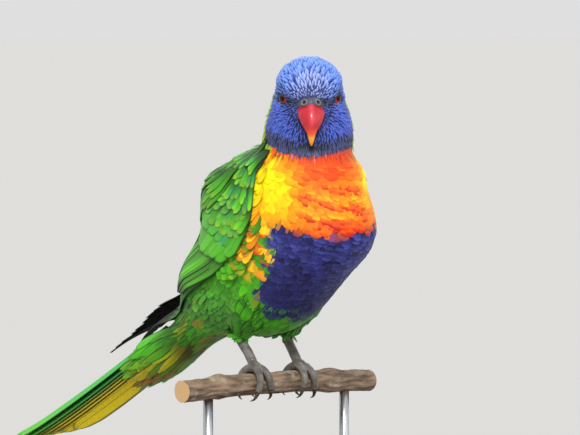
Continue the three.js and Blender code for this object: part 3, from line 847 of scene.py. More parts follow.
def hood_share(points, station, around):
    """The shares of the blue hood, and of the nape that it leaves to the collar."""
    local = into_head(points)
    ragged = ragged_edge(points)
    nape = smooth(local[:, 1] - 0.1 * local[:, 2] + 0.6 * ragged, -4.4, -3.4)
    nape = nape * (1 - smooth(local[:, 2] - 0.25 * local[:, 1] + ragged, 1.5, 4.5))
    nape = nape * (1 - smooth(station, 8, 14))
    gap = station - read(HOOD_END, around)
    return (1 - smooth(gap + 0.4 * ragged, -0.25, 0.25)) * (1 - nape), nape


HOOD_RIM = 1.7
hood_gap = station - read(HOOD_END, around)
skin_hood, skin_nape = hood_share(skin_at, station, around)
hooded = (skin_hood > 0.5) & (hood_gap < -HOOD_RIM) & ~on_thigh
print("hood places:", int(hooded.sum()), "of", len(hooded))

# %% [markdown]
# ## The lie and length of the feathers
# On the head the feathers radiate from the bill and turn down at the nape. On the body they follow
# the body axis to the tail, and on the thighs they hang down the leg. They are short by the bill and
# the eyes and longest under the tail. Where each one's tip comes to lie is found on the skin,
# because a tip is what shows: the skin's bend on the way there bends the feather, and the markings
# at the tip colour it.

# %% Lie of the coat
BILL_ROOT = np.array([0, -17.5, 1.0])
BODY_LENGTHS = [(0, 5.2), (10, 7.0), (30, 8.5), (60, 9.5), (85, 13), (105, 20), (130, 26)]
THIGH_LENGTH = 4.6
EYE_OPENING = 2.35
COAT_END = 139
SEEN = 0.85


def along_surface(vectors, normals):
    flat = vectors - normals * np.einsum("ij,ij->i", vectors, normals)[:, None]
    return unit(flat)


def coat_lie():
    down_axis = axis.direction(along)
    rays = unit(in_head - BILL_ROOT) @ HEAD_TURN.T
    nape = smooth(in_head[:, 1], -1, 13)
    head_lie = rays + down_axis * (1.6 * nape)[:, None]
    head_share = (1 - smooth(beyond_neck(skin_at), -7, 3))[:, None]
    found = down_axis * (1 - head_share) + head_lie * head_share
    down_leg = np.where(on_thigh, smooth(off_body, 1.6, 7), 0)[:, None]
    found = mix(found, [0.0, 0.35, -1.0], down_leg)
    return along_surface(found, skin_out)


def coat_length():
    on_body = read(BODY_LENGTHS, along)
    found = np.where(on_head, mix(2.0, 6.0, smooth(horn_gap, 0.4, 12)), on_body)
    found = np.where(on_thigh, THIGH_LENGTH, found)
    room = np.maximum(1.2 * ripple(skin_at, 1.1, 0.4) + 0.6 - hood_gap, 1.9)
    found = np.where(hooded, np.minimum(found, room), found)
    for _ in range(9):
        tip = into_head(skin_at + lie * found[:, None])
        over_eye = on_head & (beside_eye(tip) < EYE_OPENING) & (eye_gap > EYE_OPENING)
        found = np.where(over_eye, found * 0.78, found)
    return found


lie = coat_lie()
length = coat_length()
for _ in range(3):
    tip_at = nearest(skin_tree, skin_at + lie * (SEEN * length)[:, None])[0]
    bend = -np.einsum("ij,ij->i", tip_at - skin_at, skin_out) / SEEN ** 2
    length = np.where(np.abs(bend) > 0.3 * length, 0.75 * length, length)
bend = np.clip(bend, -0.1 * length, 0.6 * length)
bend = np.where(along + length > COAT_END, 0.03 * length, bend)
tip_along, tip_around, tip_station = stations(tip_at)
print("feathers are", round(length.min(), 2), "to", round(length.max(), 2), "mm long")

# %% [markdown]
# ## Markings
# A blue hood with pale shafts ends in dark slate. Behind it is a lime collar and a green mantle.
# The breast is orange, barred with red, between two yellow flanks, and the belly is deep indigo.
# Yellow, red and green scallops mark the flanks. The colours mix by soft, uneven shares, because
# on the real bird each feather has its own.

# %% Colours of the breast
def breast_marks(points, along, around):
    """The breast's plume and fringe: orange barred with red, yellow at the sides."""
    ragged = ragged_edge(points)
    patch = feather_to_feather(points)
    bars = np.sin(along * 1.35 + 2.0 * ripple(points, 7.0, 2.2))
    turn = around - read(BREAST_MIDDLE, along)
    yellow = smooth(np.maximum(-turn, turn - 16) + 5 * ragged, 3, 40) ** 1.4
    to_end = along - read(BREAST_END, around)
    pale = tint(BREAST_YELLOW, BREAST_GOLD, smooth(to_end, -15, -3) * 0.75)
    plume = tint(BREAST_ORANGE, pale, yellow)
    fringe = tint(BREAST_GOLD, pale, yellow)
    right = smooth(around, -38, 5)
    centre = (1 - yellow) ** 1.5
    barred = bars + 0.5 * patch
    plume = tint(plume, SCALLOP_RED, smooth(barred, 0.3 - 0.9 * right, 0.9) * centre * 0.6)
    fringe = tint(fringe, SCALLOP_RED, smooth(barred, -0.3 - 0.7 * right, 0.4) * centre)
    gap = along - read(HOOD_END, around)
    band = read(RED_BAND, around)
    under_hood = 1 - smooth(gap + 0.8 * ragged + 0.6 * bars, 0.4 * band, 1.3 * band)
    under_hood = under_hood * smooth(band, 0.3, 3.0)
    plume = tint(plume, BAND_RED, under_hood * 0.95)
    fringe = tint(fringe, tint(BAND_RED, BREAST_ORANGE, smooth(patch, 0, 0.8)), under_hood * 0.9)
    shoulder = bell(np.abs(around) - 92, 8) * bell(along - 11, 4)
    shoulder = shoulder * smooth(ripple(points, 1.4, 7.7), -0.3, 0.3)
    hem = smooth(to_end, -6, -1.5) * (1 - 0.6 * yellow)
    plume = tint(plume, BAND_RED, np.maximum(hem * 0.5, shoulder * 0.8))
    fringe = tint(fringe, SCALLOP_RED, np.maximum(hem * 0.8, shoulder))
    return plume, fringe


# %% Colours of the belly, flanks and vent
def vent_marks(points, along, side):
    """The green under the tail, with a yellow streak, one red spot, and a brownish orange lower edge that
    is partly orange feathers and partly painted shade.
    """
    patch = feather_to_feather(points)
    streak = ripple(points, 5.2, 7.7)
    pale = bell(side + 5 * patch - read(YELLOW_STREAK, along), 9) * smooth(along, 112, 121)
    # Brownish orange at the lower edge: partly orange feathers, partly painted shade on the underside.
    warm = (1 - smooth(side + 8 * streak, 20, 40)) * smooth(along, 84, 95)
    warm = warm * smooth(patch + streak, -0.6, 0.5) * 0.8
    plume = tint(VENT_GREEN, THIGH_GREEN, smooth(ragged_edge(points), -0.3, 0.5))
    fringe = tint(VENT_GREEN, VENT_YELLOW, smooth(patch, 0.3, 1.0) * 0.5)
    plume = tint(tint(plume, VENT_YELLOW, pale), VENT_ORANGE, warm)
    fringe = tint(tint(fringe, VENT_YELLOW, pale), VENT_ORANGE, warm)
    return plume, tint(fringe, FLANK_RED, bell(side - 78, 9) * bell(along - 103, 4))


def under_marks(points, along, around):
    """The belly, flank and vent plumes and fringes behind the breast."""
    ragged = ragged_edge(points)
    patch = feather_to_feather(points)
    side = np.abs(around)
    low = smooth(along + 4 * ragged, 38, 58) * 0.6
    plume = tint(BELLY_INDIGO, BELLY_DARK, smooth(ragged + patch, -0.4, 0.5))
    fringe = tint(BELLY_EDGE, BELLY_INDIGO, smooth(patch, -0.3, 0.6))
    plume = tint(plume, BELLY_DARK, low)
    fringe = tint(fringe, BELLY_DARK, low)

    bars = np.sin(along * 0.85 + side * 0.09 + 1.1 * ripple(points, 5.2, 7.7))
    flank = tint(FLANK_YELLOW, BREAST_ORANGE, smooth(bars, -0.7, -0.1))
    flank = tint(flank, THIGH_GREEN, smooth(bars + 0.25 * ragged, 0.1, 0.4))
    flank_fringe = tint(FLANK_YELLOW, FLANK_RED, smooth(bars + 0.3 * patch, -0.5, 0.0))
    flank_fringe = tint(flank_fringe, VENT_GREEN, smooth(bars, 0.5, 0.8))
    edge = read(BELLY_SIDE, along)
    flank_share = smooth(side + 6 * ragged + 4 * patch, edge - 0.5, edge + 0.5)
    flank_share = flank_share * (1 - smooth(side, 98, 110))
    plume = tint(plume, flank, flank_share)
    fringe = tint(fringe, flank_fringe, flank_share)

    vent, vent_fringe = vent_marks(points, along, side)
    green_share = smooth(along + 5 * ragged, 50, 58) * flank_share
    vent_share = np.maximum(green_share, smooth(along + 3 * ragged, 65, 69))
    return tint(plume, vent, vent_share), tint(fringe, vent_fringe, vent_share)


# %% Colours of the hood
FOREHEAD_AT = np.array([0, -15, 8.0])
CHIN_AT = np.array([0, -16, -11])
CHIN_HALF = np.array([6.5, 7, 6])
LORE_START = np.array([4.5, -18.0, 2.2])
LORE_END = EYE_AT + EYE_FACING * 3.2


def beside_lore(local):
    """How far places in the head are from the line between eye and cere, darkened partly as the lore and
    partly as painted shade under the brow.
    """
    line = LORE_END - LORE_START
    offset = folded(local) - LORE_START
    share = np.clip(offset @ line / np.sum(line ** 2), 0, 1)
    return lengths(offset - share[:, None] * line)


def hood_marks(points, station, around):
    """The hood's plume and fringe: pale at the forehead, deep on the cheeks, slate at its hem."""
    local = into_head(points)
    ragged = ragged_edge(points)
    patch = feather_to_feather(points)
    low = smooth(-local[:, 2] + 2.5 * ragged, -6, 2)
    from_forehead = lengths(local - FOREHEAD_AT)
    forehead = (1 - smooth(from_forehead + 1.5 * ragged, 4, 12)) * (1 - low) * 0.8
    # The lore line is darkened: partly the dark lore itself, partly painted shade under the brow.
    lore = 1 - smooth(beside_lore(local) + 0.4 * patch, 1.1, 2.8)
    # Painted shadow under the bill: the chin is darkened towards slate.
    from_chin = lengths((local - CHIN_AT) / CHIN_HALF)
    painted_chin_shadow = 1 - smooth(from_chin + 0.12 * ragged, 0.7, 1.2)
    hem = smooth(station - read(HOOD_END, around) + 1.2 * patch, -7.0, -3.4)
    # The slate share is the hood's own slate hem, and also the painted shadow under the bill and the
    # darkened lore line.
    slate = np.maximum(np.maximum(hem, lore), painted_chin_shadow * 0.8)
    plume = tint(tint(CROWN_BLUE, CHEEK_BLUE, low), FOREHEAD_BLUE, forehead)
    fringe = tint(tint(CROWN_TIP, CHEEK_TIP, low), FOREHEAD_TIP, forehead)
    return tint(plume, HOOD_SLATE, slate * 0.95), tint(fringe, SLATE_TIP, slate * 0.9)


# %% Colours of the whole coat
def markings(points, station, around, thigh, hood, nape):
    """The plume's colour and its fringe at each place."""
    along = np.maximum(station, 0)
    ragged = ragged_edge(points)
    side = np.abs(around)
    breast, breast_fringe = breast_marks(points, along, around)
    low, low_fringe = under_marks(points, along, around)
    under = smooth(along - read(BREAST_END, around) + 1.4 * ragged, -0.05, 0.05)
    back = tint(BACK_GREEN, BACK_DARK, smooth(ragged, -0.6, 0.8))
    behind = smooth(side + 3 * ragged, 104, 112)
    collar = tint(COLLAR_LIME, BACK_GREEN, smooth(along + 2 * ragged, 6, 13))
    collar_share = np.maximum(smooth(side, 92, 104) * (1 - smooth(along, 10, 16)), nape)
    plume = tint(tint(tint(breast, low, under), back, behind), collar, collar_share)
    fringe = tint(tint(breast_fringe, low_fringe, under), back * 1.3, behind)
    fringe = tint(fringe, collar * 1.15, collar_share)

    blue, blue_fringe = hood_marks(points, station, around)
    leg = tint(BELLY_INDIGO, THIGH_GREEN, smooth(np.abs(points[:, 0]) + 1.5 * ragged, 7, 11))
    plume = np.where(thigh[:, None], leg, tint(plume, blue, hood))
    fringe = np.where(thigh[:, None], leg * 1.3, tint(fringe, blue_fringe, hood))
    return np.clip(plume, 0, 1), np.clip(fringe, 0, 1)


skin_colour = markings(skin_at, station, around, on_thigh, skin_hood, skin_nape)[0]
tip_nape = hood_share(tip_at, tip_station, tip_around)[1]
plume, fringe = markings(tip_at, tip_station, tip_around, on_thigh, hooded.astype(float), tip_nape)
print("mean plume colour:", plume.mean(axis=0).round(3))

# %% [markdown]
# ## An unwrap of the skin
# Every feather gets a small patch in a shared picture space, at the place of its root on an unwrap
# of the skin. The head is laid out by its own azimuth and height, the body by angle and distance
# along its axis, and each thigh by itself. Each face takes one layout, so none is smeared at a seam.


# %% Unwrap
ON_HEAD, ON_BODY, ON_LEFT_LEG, ON_RIGHT_LEG = range(4)


def skin_layouts():
    """For each part of the skin: its two readings, and its left, low, width and height."""
    rel = skin_at - HEAD_AT
    head_u = np.arctan2(rel[:, 0], rel[:, 1]) / (2 * np.pi) % 1
    head_v = np.clip((rel[:, 2] + 22) / 46, 0, 1)
    leg_u = np.arctan2(skin_at[:, 1] - 4, np.abs(skin_at[:, 0]) - 14) / (2 * np.pi) % 1
    leg_v = np.clip((skin_at[:, 2] - 14) / 36, 0, 1)
    return {
        ON_HEAD: (head_u, head_v, 0.02, 0.56, 0.44, 0.42),
        ON_BODY: ((around / 360 + 0.5) % 1, along / 175, 0.02, 0.02, 0.96, 0.50),
        ON_LEFT_LEG: (leg_u, leg_v, 0.52, 0.56, 0.2, 0.42),
        ON_RIGHT_LEG: (leg_u, leg_v, 0.76, 0.56, 0.2, 0.42),
    }


def unwrap(mesh):
    parts = [on_head, on_thigh & (skin_at[:, 0] > 0), on_thigh]
    islands = np.select(parts, [ON_HEAD, ON_LEFT_LEG, ON_RIGHT_LEG], ON_BODY)
    corners = whole_numbers(mesh.loops, "vertex_index")
    starts = whole_numbers(mesh.polygons, "loop_start")
    first = np.repeat(corners[starts], whole_numbers(mesh.polygons, "loop_total"))
    result = np.zeros((len(corners), 2))
    for key, (u, v, left, low, wide, tall) in skin_layouts().items():
        here = islands[first] == key
        across = u[corners[here]]
        across = across - np.round(across - u[first[here]])
        result[here, 0] = left + wide * np.clip(across, 0, 1)
        result[here, 1] = low + tall * v[corners[here]]
    return result


skin_uv = unwrap(skin.data)
add_map(skin.data, "OFBake", skin_uv)

# %% [markdown]
# ## Feather shapes
# A small feather is a closed spindle of four points to a ring: the left edge, the shaft, the right
# edge and the underside. Its width and length are one unit, and its heights are in millimetres, so
# a feather can be scaled in length and width and keep its thin section. A barb is the same with
# three points to a ring. A few dozen faces are enough, because thousands of them overlap.


# %% Feather shapes
def feather_shape(name, rings, section):
    """A feather from rings of (place along it, half its width) and a section of (side, height)."""
    count = len(section)
    points = [(0, 0, 0)]
    for place, half in rings:
        points += [(side * half, place, height * (half * 2) ** 0.7) for side, height in section]
    points.append((0, 1, min(height for _, height in section) * 0.5))
    last = len(points) - 1
    faces = []
    for j in range(count):
        k = (j + 1) % count
        faces.append((0, 1 + j, 1 + k))
        faces.append((last - count + j, last, last - count + k))
        for i in range(len(rings) - 1):
            a = 1 + count * i
            faces.append((a + j, a + count + j, a + count + k, a + k))
    mesh = mesh_from(name, points, faces)
    face_outward(mesh)
    layer = mesh.uv_layers.new(name="Blade")
    for corner in mesh.loops:
        x, y, _ = mesh.vertices[corner.vertex_index].co
        layer.data[corner.index].uv = (0.5 + 0.5 * x / read([(0, 1), *rings, (1, 1)], y), y)
    on_rim = [abs(vertex.co.x) > 0.01 or vertex.co.y in (0, 1) for vertex in mesh.vertices]
    for edge in mesh.edges:
        edge.use_edge_sharp = all(on_rim[i] for i in edge.vertices)
    store(mesh, "Reach", [vertex.co.y for vertex in mesh.vertices])
    print(name, "faces:", len(mesh.polygons))
    return bpy.data.objects.new(name, mesh)


NARROW_RINGS = [(0.2, 0.34), (0.55, 0.5), (0.84, 0.3)]
LONG_RINGS = [(0.06, 0.3), (0.3, 0.46), (0.55, 0.5), (0.78, 0.36), (0.92, 0.18)]
BROAD_RINGS = [(0.08, 0.3), (0.34, 0.45), (0.62, 0.5), (0.83, 0.44), (0.95, 0.26)]
BARB_RINGS = [(0.25, 0.42), (0.7, 0.5)]
NARROW = feather_shape("narrow feather", NARROW_RINGS, [(-1, -0.05), (0, 0.1), (1, -0.05), (0, -0.09)])
LONG = feather_shape("long feather", LONG_RINGS, [(-1, -0.3), (0, 0.06), (1, -0.3), (0, -0.12)])
BROAD = feather_shape("broad feather", BROAD_RINGS, [(-1, -0.3), (0, 0.05), (1, -0.3), (0, -0.12)])
BARB = feather_shape("barb", BARB_RINGS, [(-1, -0.03), (0, 0.06), (1, -0.03)])

# %% [markdown]
# ## Growing the coat
# Geometry Nodes scatter points over the skin with an even spacing, turn each one so that its feather
# lies along the coat's direction and lifts a little at the tip, and put a feather on it. Once the
# feathers are real geometry they are bent by the skin's own bend. The tree keeps each root's place
# on the unwrap, so that the feather's corners can be laid round it. A loop in Python would also
# work, but the tree is faster and its sizes stay open to change.


# %% Small helpers for geometry nodes
VECTORS = "FLOAT_VECTOR"


def kept(tree, name, kind="FLOAT"):
    found = node(tree, "GeometryNodeInputNamedAttribute", {"Name": name}, data_type=kind)
    return found.outputs["Attribute"]


def keep(tree, geometry, name, value, kind="FLOAT", domain="POINT"):
    inputs = {"Geometry": geometry, "Name": name, "Value": value}
    made = node(tree, "GeometryNodeStoreNamedAttribute", inputs, data_type=kind, domain=domain)
    return made.outputs[0]


def random_node(tree, given, step, low, high):
    """A random number for each root, from the region's seed and a step of its own."""
    inputs = {2: low, 3: high, "Seed": math_node(tree, "ADD", given["Seed"], step)}
    return node(tree, "FunctionNodeRandomValue", inputs, data_type="FLOAT").outputs[1]


def moved_points(tree, geometry, offset):
    return node(tree, "GeometryNodeSetPosition", {"Geometry": geometry, "Offset": offset}).outputs[0]


# %% Roots, turn and bend of the feathers
COAT_INPUTS = [
    ("Geometry", "NodeSocketGeometry", None),
    ("Feather", "NodeSocketObject", None),
    ("Material", "NodeSocketMaterial", None),
    ("Seed", "NodeSocketInt", 1),
]
COAT_SIZES = {"Spacing": 0.002, "Fill": 3.0, "Lift": 0.06, "Raise": 0.0, "Scatter": 0.1, "Patch": 0.003}
COAT_INPUTS += [(label, FLOAT, value) for label, value in COAT_SIZES.items()]


def scatter_roots(tree, given):
    area = times(tree, given["Spacing"], given["Spacing"])
    inputs = {
        "Mesh": given["Geometry"],
        "Distance Min": given["Spacing"],
        "Density Max": math_node(tree, "DIVIDE", given["Fill"], area),
        "Density Factor": kept(tree, "Here"),
        "Seed": given["Seed"],
    }
    kind = "GeometryNodeDistributePointsOnFaces"
    roots = node(tree, kind, inputs, distribute_method="POISSON").outputs
    raised = vector_node(tree, "SCALE", roots["Normal"], given["Raise"])
    places = moved_points(tree, roots["Points"], raised)
    geometry = keep(tree, places, "Up", roots["Normal"], VECTORS)
    return keep(tree, geometry, "Tint", random_node(tree, given, 31.0, 0.0, 1.0))


def feather_turn(tree, given):
    """The rotation that lays a feather along the coat, with a little scatter and lift."""
    normal = kept(tree, "Up", VECTORS)
    direction = kept(tree, "Lie", VECTORS)
    sideways = vector_node(tree, "CROSS_PRODUCT", direction, normal)
    swing = times(tree, random_node(tree, given, 7.0, -1.0, 1.0), given["Scatter"])
    direction = vector_node(tree, "ADD", direction, vector_node(tree, "SCALE", sideways, swing))
    lift = times(tree, given["Lift"], random_node(tree, given, 11.0, 0.75, 1.25))
    direction = vector_node(tree, "ADD", direction, vector_node(tree, "SCALE", normal, lift))
    settings = {"primary_axis": "Y", "secondary_axis": "Z"}
    return node(tree, "FunctionNodeAxesToRotation", {0: direction, 1: normal}, **settings).outputs[0]


def feather_scale(tree, given):
    size = random_node(tree, given, 23.0, 0.88, 1.12)
    wide = times(tree, kept(tree, "Wide"), size)
    long = times(tree, kept(tree, "Long"), size)
    return node(tree, "ShaderNodeCombineXYZ", {0: wide, 1: long, 2: MM}).outputs[0]


def bent_down(tree, geometry):
    """Each point moves against the skin's normal by the square of its reach along the feather."""
    reach_along = kept(tree, "Reach")
    square = times(tree, reach_along, reach_along)
    fall = times(tree, times(tree, square, kept(tree, "Bend")), -1.0)
    return moved_points(tree, geometry, vector_node(tree, "SCALE", kept(tree, "Up", VECTORS), fall))


# %% Coat tree
def coat_tree():
    outputs = [("Geometry", "NodeSocketGeometry")]
    tree, given, made = new_group("Coat of feathers", "GeometryNodeTree", COAT_INPUTS, outputs)
    feather = node(tree, "GeometryNodeObjectInfo", {"Object": given["Feather"]}).outputs["Geometry"]
    inputs = {
        "Points": scatter_roots(tree, given),
        "Instance": feather,
        "Rotation": feather_turn(tree, given),
        "Scale": feather_scale(tree, given),
    }
    grown = node(tree, "GeometryNodeInstanceOnPoints", inputs).outputs[0]
    real = node(tree, "GeometryNodeRealizeInstances", {0: grown}).outputs[0]
    middle = vector_node(tree, "SUBTRACT", kept(tree, "Blade", VECTORS), (0.5, 0.5, 0.0))
    spread = vector_node(tree, "SCALE", middle, given["Patch"])
    corner = vector_node(tree, "ADD", kept(tree, "RootPlace", VECTORS), spread)
    mapped = keep(tree, bent_down(tree, real), "OFBake", corner, "FLOAT2", "CORNER")
    inputs = {"Geometry": mapped, "Material": given["Material"]}
    dressed = node(tree, "GeometryNodeSetMaterial", inputs).outputs[0]
    tree.links.new(dressed, made["Geometry"])
    return tree


COAT_TREE = coat_tree()
print("coat tree nodes:", len(COAT_TREE.nodes))


# %% One region of the coat
def set_inputs(modifier, values):
    for item in modifier.node_group.interface.items_tree:
        if item.item_type == "SOCKET" and item.in_out == "INPUT" and item.name in values:
            modifier[item.identifier] = values[item.name]


def grow(name, slot, here, wide, share, looks, spacing, lift, seed, raised=0.0, scatter=0.1):
    """Grows feathers where the mask is. Share tells how much of the coat's length they have."""
    mesh = skin.data.copy()
    mesh.name = name
    mesh.attributes.remove(mesh.attributes["Plume"])
    mesh.uv_layers.remove(mesh.uv_layers["OFBake"])
    numbers = {
        "Here": np.where(bare, 0, here),
        "Wide": np.broadcast_to(wide, len(skin_at)) * MM,
        "Long": length * share * MM,
        "Bend": bend * share ** 2 * MM,
    }
    for label, value in numbers.items():
        store(mesh, label, value)
    store(mesh, "Lie", lie, VECTORS)
    store(mesh, "Plume", plume, "FLOAT_COLOR")
    store(mesh, "Fringe", fringe, "FLOAT_COLOR")
    root_place = np.column_stack([skin_uv, np.zeros(len(skin_uv))])
    store(mesh, "RootPlace", root_place, VECTORS, "CORNER")
    piece = new_object(name, mesh)
    modifier = piece.modifiers.new("Coat", "NODES")
    modifier.node_group = COAT_TREE
    shape, material = looks
    set_inputs(modifier, {
        "Feather": shape, "Material": material, "Spacing": spacing * MM, "Lift": lift,
        "Raise": raised * MM, "Scatter": scatter, "Seed": seed,
    })
    result = applied(piece)
    for label in (*numbers, "Lie", "RootPlace", "Up", "Reach"):
        if label in result.attributes:
            result.attributes.remove(result.attributes[label])
    finished(piece, slot)


# %% [markdown]
# The head's feathers are narrow, with pale shafts that read as streaks. The breast's are broad and
# rounded, with coloured fringes that read as scallops. On the belly and the rear, fine barbs lie over
# the feathers and break up their edges. The alternative is thousands more feathers. The skin itself
# carries the same markings, darkened as painted shade, because it shows only in the gaps between them.

# %% Coat materials
HEAD_FEATHER = feather_material(
    "Hood feather", CROWN_SHAFT, HOOD_SLATE, shaft_own=0.75,
    Shaft_width=0.6, Shaft_strength=0.62, Fringe_start=0.3, Fringe_end=0.9,
    Barbs=30.0, Rim_strength=0.9, Root_shade=0.14, Root_end=0.72,
)
SOFT_FEATHER = feather_material(
    "Soft feather", BREAST_YELLOW, BELLY_INDIGO,
    Shaft_width=0.05, Shaft_strength=0.03, Fringe_start=0.76, Fringe_end=0.93,
    Barbs=130.0, Rim_strength=0.0, Root_shade=0.6, Root_end=0.7,
)
FIRM_FEATHER = feather_material(
    "Firm feather", SHAFT_GREEN, TIP_BLACK,
    Shaft_width=0.08, Shaft_strength=0.5, Fringe_start=0.75, Fringe_end=0.98,
    Barbs=170.0, Rim_strength=0.75, Root_shade=0.3, Root_end=0.72,
)
BARB_FEATHER = feather_material(
    "Barb", BREAST_YELLOW, BELLY_INDIGO,
    Shaft_width=0.3, Shaft_strength=0.0, Fringe_start=0.3, Fringe_end=0.9,
    Barbs=12.0, Rim_strength=0.0, Root_shade=0.8, Root_end=0.5,
)


def skin_material():
    material, tree, shader = new_material("Skin", 0.7)
    colour = attribute_node(tree, "Plume")
    # Painted shade: the skin shows only in the gaps between the feathers, so it takes the plumage's colour
    # at half brightness, and darker still in uneven patches.
    skin_in_painted_shade = mix_node(tree, 1.0, colour, (0.5, 0.5, 0.5, 1), "MULTIPLY")
    dark = mix_node(tree, 1.0, colour, (0.25, 0.25, 0.3, 1), "MULTIPLY")
    made = uneven(tree, skin_in_painted_shade, dark, object_place(tree), 400.0, 0.7)
    dress(tree, shader, made["Color"], made["Height"], 0.0002, 0.6)
    return material


# %% Regions of the coat
WING_LOW = [
    (16, 4), (24, -3), (34, -14), (50, -15), (62, -9), (70, -4), (92, 17), (127, 38), (142, 66),
]
WING_HIGH = [(16, 40), (45, 62), (70, 76), (95, 84), (120, 88), (142, 108)]

bare = (root_room < 0.2) | (eye_gap < EYE_OPENING - 0.1) | (along > COAT_END)
bare |= on_thigh & (skin_out[:, 2] < -0.7)
side = np.abs(around)
on_body = ~on_head & ~on_thigh
crown = on_head & hooded & (in_head[:, 2] > EYE_AT[2] - 1)
cheek = on_head & hooded & ~crown
hood_hem = on_body & hooded
collar = ~on_thigh & ~hooded & (on_head | ((tip_along < 13) & (np.abs(tip_around) > 88)))
wing_angle = side - 90
edge_low = read(WING_LOW, along)
covered = (wing_angle > edge_low + 10) & (wing_angle < read(WING_HIGH, along) - 10)
covered &= (along > 24) & (along < 132)
open_body = ~on_thigh & ~hooded & ~collar & ~covered
breast = open_body & (tip_along < read(BREAST_END, tip_around) + 1) & (side < 108)
back = open_body & ~breast & (side >= 106)
belly = open_body & ~breast & ~back & (along < 60)
rear = open_body & ~breast & ~back & ~belly
long_tail = rear & (along > 96)
rear &= ~long_tail
wing_hem = on_body & (np.abs(wing_angle - edge_low + 2.5) < 6.5) & (np.abs(along - 36) < 24)

store(skin.data, "Plume", skin_colour, "FLOAT_COLOR")
finished(skin, "plumage_blue", *FLESH, material=skin_material())


# %% Grow the coat
# Each region has its piece's name and slot, where it is, the width of its feathers, their share of
# the coat's length, their shape and finish, how far apart they stand, their lift and their seed. The
# last two numbers, where they are given, raise them over other feathers and scatter their lie.
head_wide = mix(0.85, 1.55, smooth(horn_gap, 1, 9))
low_belly = belly & (along > read(BREAST_END, around) + 2) & (side < read(BELLY_SIDE, along) - 5)
HEAD = (NARROW, HEAD_FEATHER)
DOWNY = (NARROW, SOFT_FEATHER)
SOFT = (BROAD, SOFT_FEATHER)
FIRM = (BROAD, FIRM_FEATHER)
FINE = (BARB, BARB_FEATHER)
COAT = [
    ("coat_crown", "plumage_blue", crown, head_wide, 1, HEAD, 0.72, 0.19, 3, 0, 0.28),
    ("coat_cheek", "plumage_blue", cheek, head_wide, 1, HEAD, 0.7, 0.1, 5, 0, 0.16),
    ("coat_hood", "plumage_blue", hood_hem, 1.3, 1, HEAD, 0.6, 0.1, 8),
    ("coat_collar", "plumage_green", collar, 1.7, 1.2, DOWNY, 0.8, 0.24, 9, 0, 0.2),
    ("coat_breast", "plumage_orange", breast, 5.6, 1, SOFT, 1.35, 0.05, 12),
    ("coat_belly", "plumage_blue", belly, 5.4, 1, SOFT, 1.35, 0.05, 15),
    ("coat_rear", "plumage_green", rear, 5.2, 1, FIRM, 1.5, 0.05, 18),
    ("coat_tail_root", "plumage_green", long_tail, 4.6, 1, (LONG, FIRM_FEATHER), 1.6, 0.04, 19),
    ("coat_back", "plumage_green", back, 6, 1, FIRM, 1.8, 0.05, 21),
    ("coat_wing_hem", "plumage_orange", wing_hem, 3.8, 1.05, SOFT, 1.1, 0.3, 27, 0, 0.25),
    ("coat_thighs", "plumage_green", on_thigh, 2.0, 1, DOWNY, 0.8, 0.05, 24),
    ("barbs_belly", "plumage_blue", low_belly, 0.45, 0.42, FINE, 0.62, 0.07, 34, 0.22, 0.2),
    ("barbs_rear", "plumage_green", rear, 0.5, 0.4, FINE, 0.75, 0.05, 37, 0.25, 0.12),
]
for region in COAT:
    grow(*region)

# %% [markdown]
# ## Wing and tail feathers
# The large feathers are stiff vanes in tiers: lesser, median and greater coverts, then secondaries,
# then primaries, with scapulars and tertials over the inner edge. Each is a thin closed sheet over the
# same curved surface as the solid wing, with a raised shaft, and it lies over its neighbour. Their
# places follow rules, so loops over tiers make them. A sculpted wing would look good too, but its
# tiers could not be changed by number.

# %% The wing's surface
WING_CEILING = [(98, 87.5), (108, 90), (125, 112), (150, 150)]
WING_TIP = 176
TIP_ANGLE = {1: 106, -1: 131}
CROSSING_LIFT = 5.4

ALONG_STEP = 2.0
ANGLE_STEP = 4.0
TABLE_ALONG = np.arange(4, 190, ALONG_STEP)
TABLE_ANGLE = np.arange(-60, 170, ANGLE_STEP)


def wing_table():
    grid_along, grid_angle = np.meshgrid(TABLE_ALONG, TABLE_ANGLE, indexing="ij")
    flat_along = grid_along.ravel()
    direction = outward(flat_along, 1, grid_angle.ravel())
    return reach(wing_field, axis.at(flat_along), direction).reshape(grid_along.shape)


WING_TABLE = wing_table()


def wing_radius(along, angle):
    """How far out the wing's surface lies, read from the table between its entries."""
    row = np.clip((along - TABLE_ALONG[0]) / ALONG_STEP, 0, len(TABLE_ALONG) - 1.001)
    column = np.clip((angle - TABLE_ANGLE[0]) / ANGLE_STEP, 0, len(TABLE_ANGLE) - 1.001)
    i, j = row.astype(int), column.astype(int)
    a, b = row - i, column - j
    low = WING_TABLE[i, j] * (1 - b) + WING_TABLE[i, j + 1] * b
    high = WING_TABLE[i + 1, j] * (1 - b) + WING_TABLE[i + 1, j + 1] * b
    return low * (1 - a) + high * a


def wing_edges(side, along):
    close = smooth(along, 140, WING_TIP)
    tip = TIP_ANGLE[side]
    return mix(read(WING_LOW, along), tip - 5, close), mix(read(WING_HIGH, along), tip + 5, close)


def wing_point(side, along, angle, height):
    """A place over the wing. The left wing's end is lifted, as it lies over the right one's."""
    along, angle, height = np.broadcast_arrays(along, angle, height)
    held = np.minimum(angle, read(WING_CEILING, along))
    lift = 0.0
    if side > 0:
        over = smooth(along, 92, 124) * smooth(held, 10, 88)
        lift = over * (CROSSING_LIFT - 1.6 * smooth(along, 130, 160))
    out = wing_radius(along, held) + height + lift
    return axis.at(along) + outward(along, side, held) * out[..., None]


# %% One stiff vane
ACROSS = np.array([-1, -0.72, -0.36, -0.09, 0.09, 0.4, 0.74, 1])


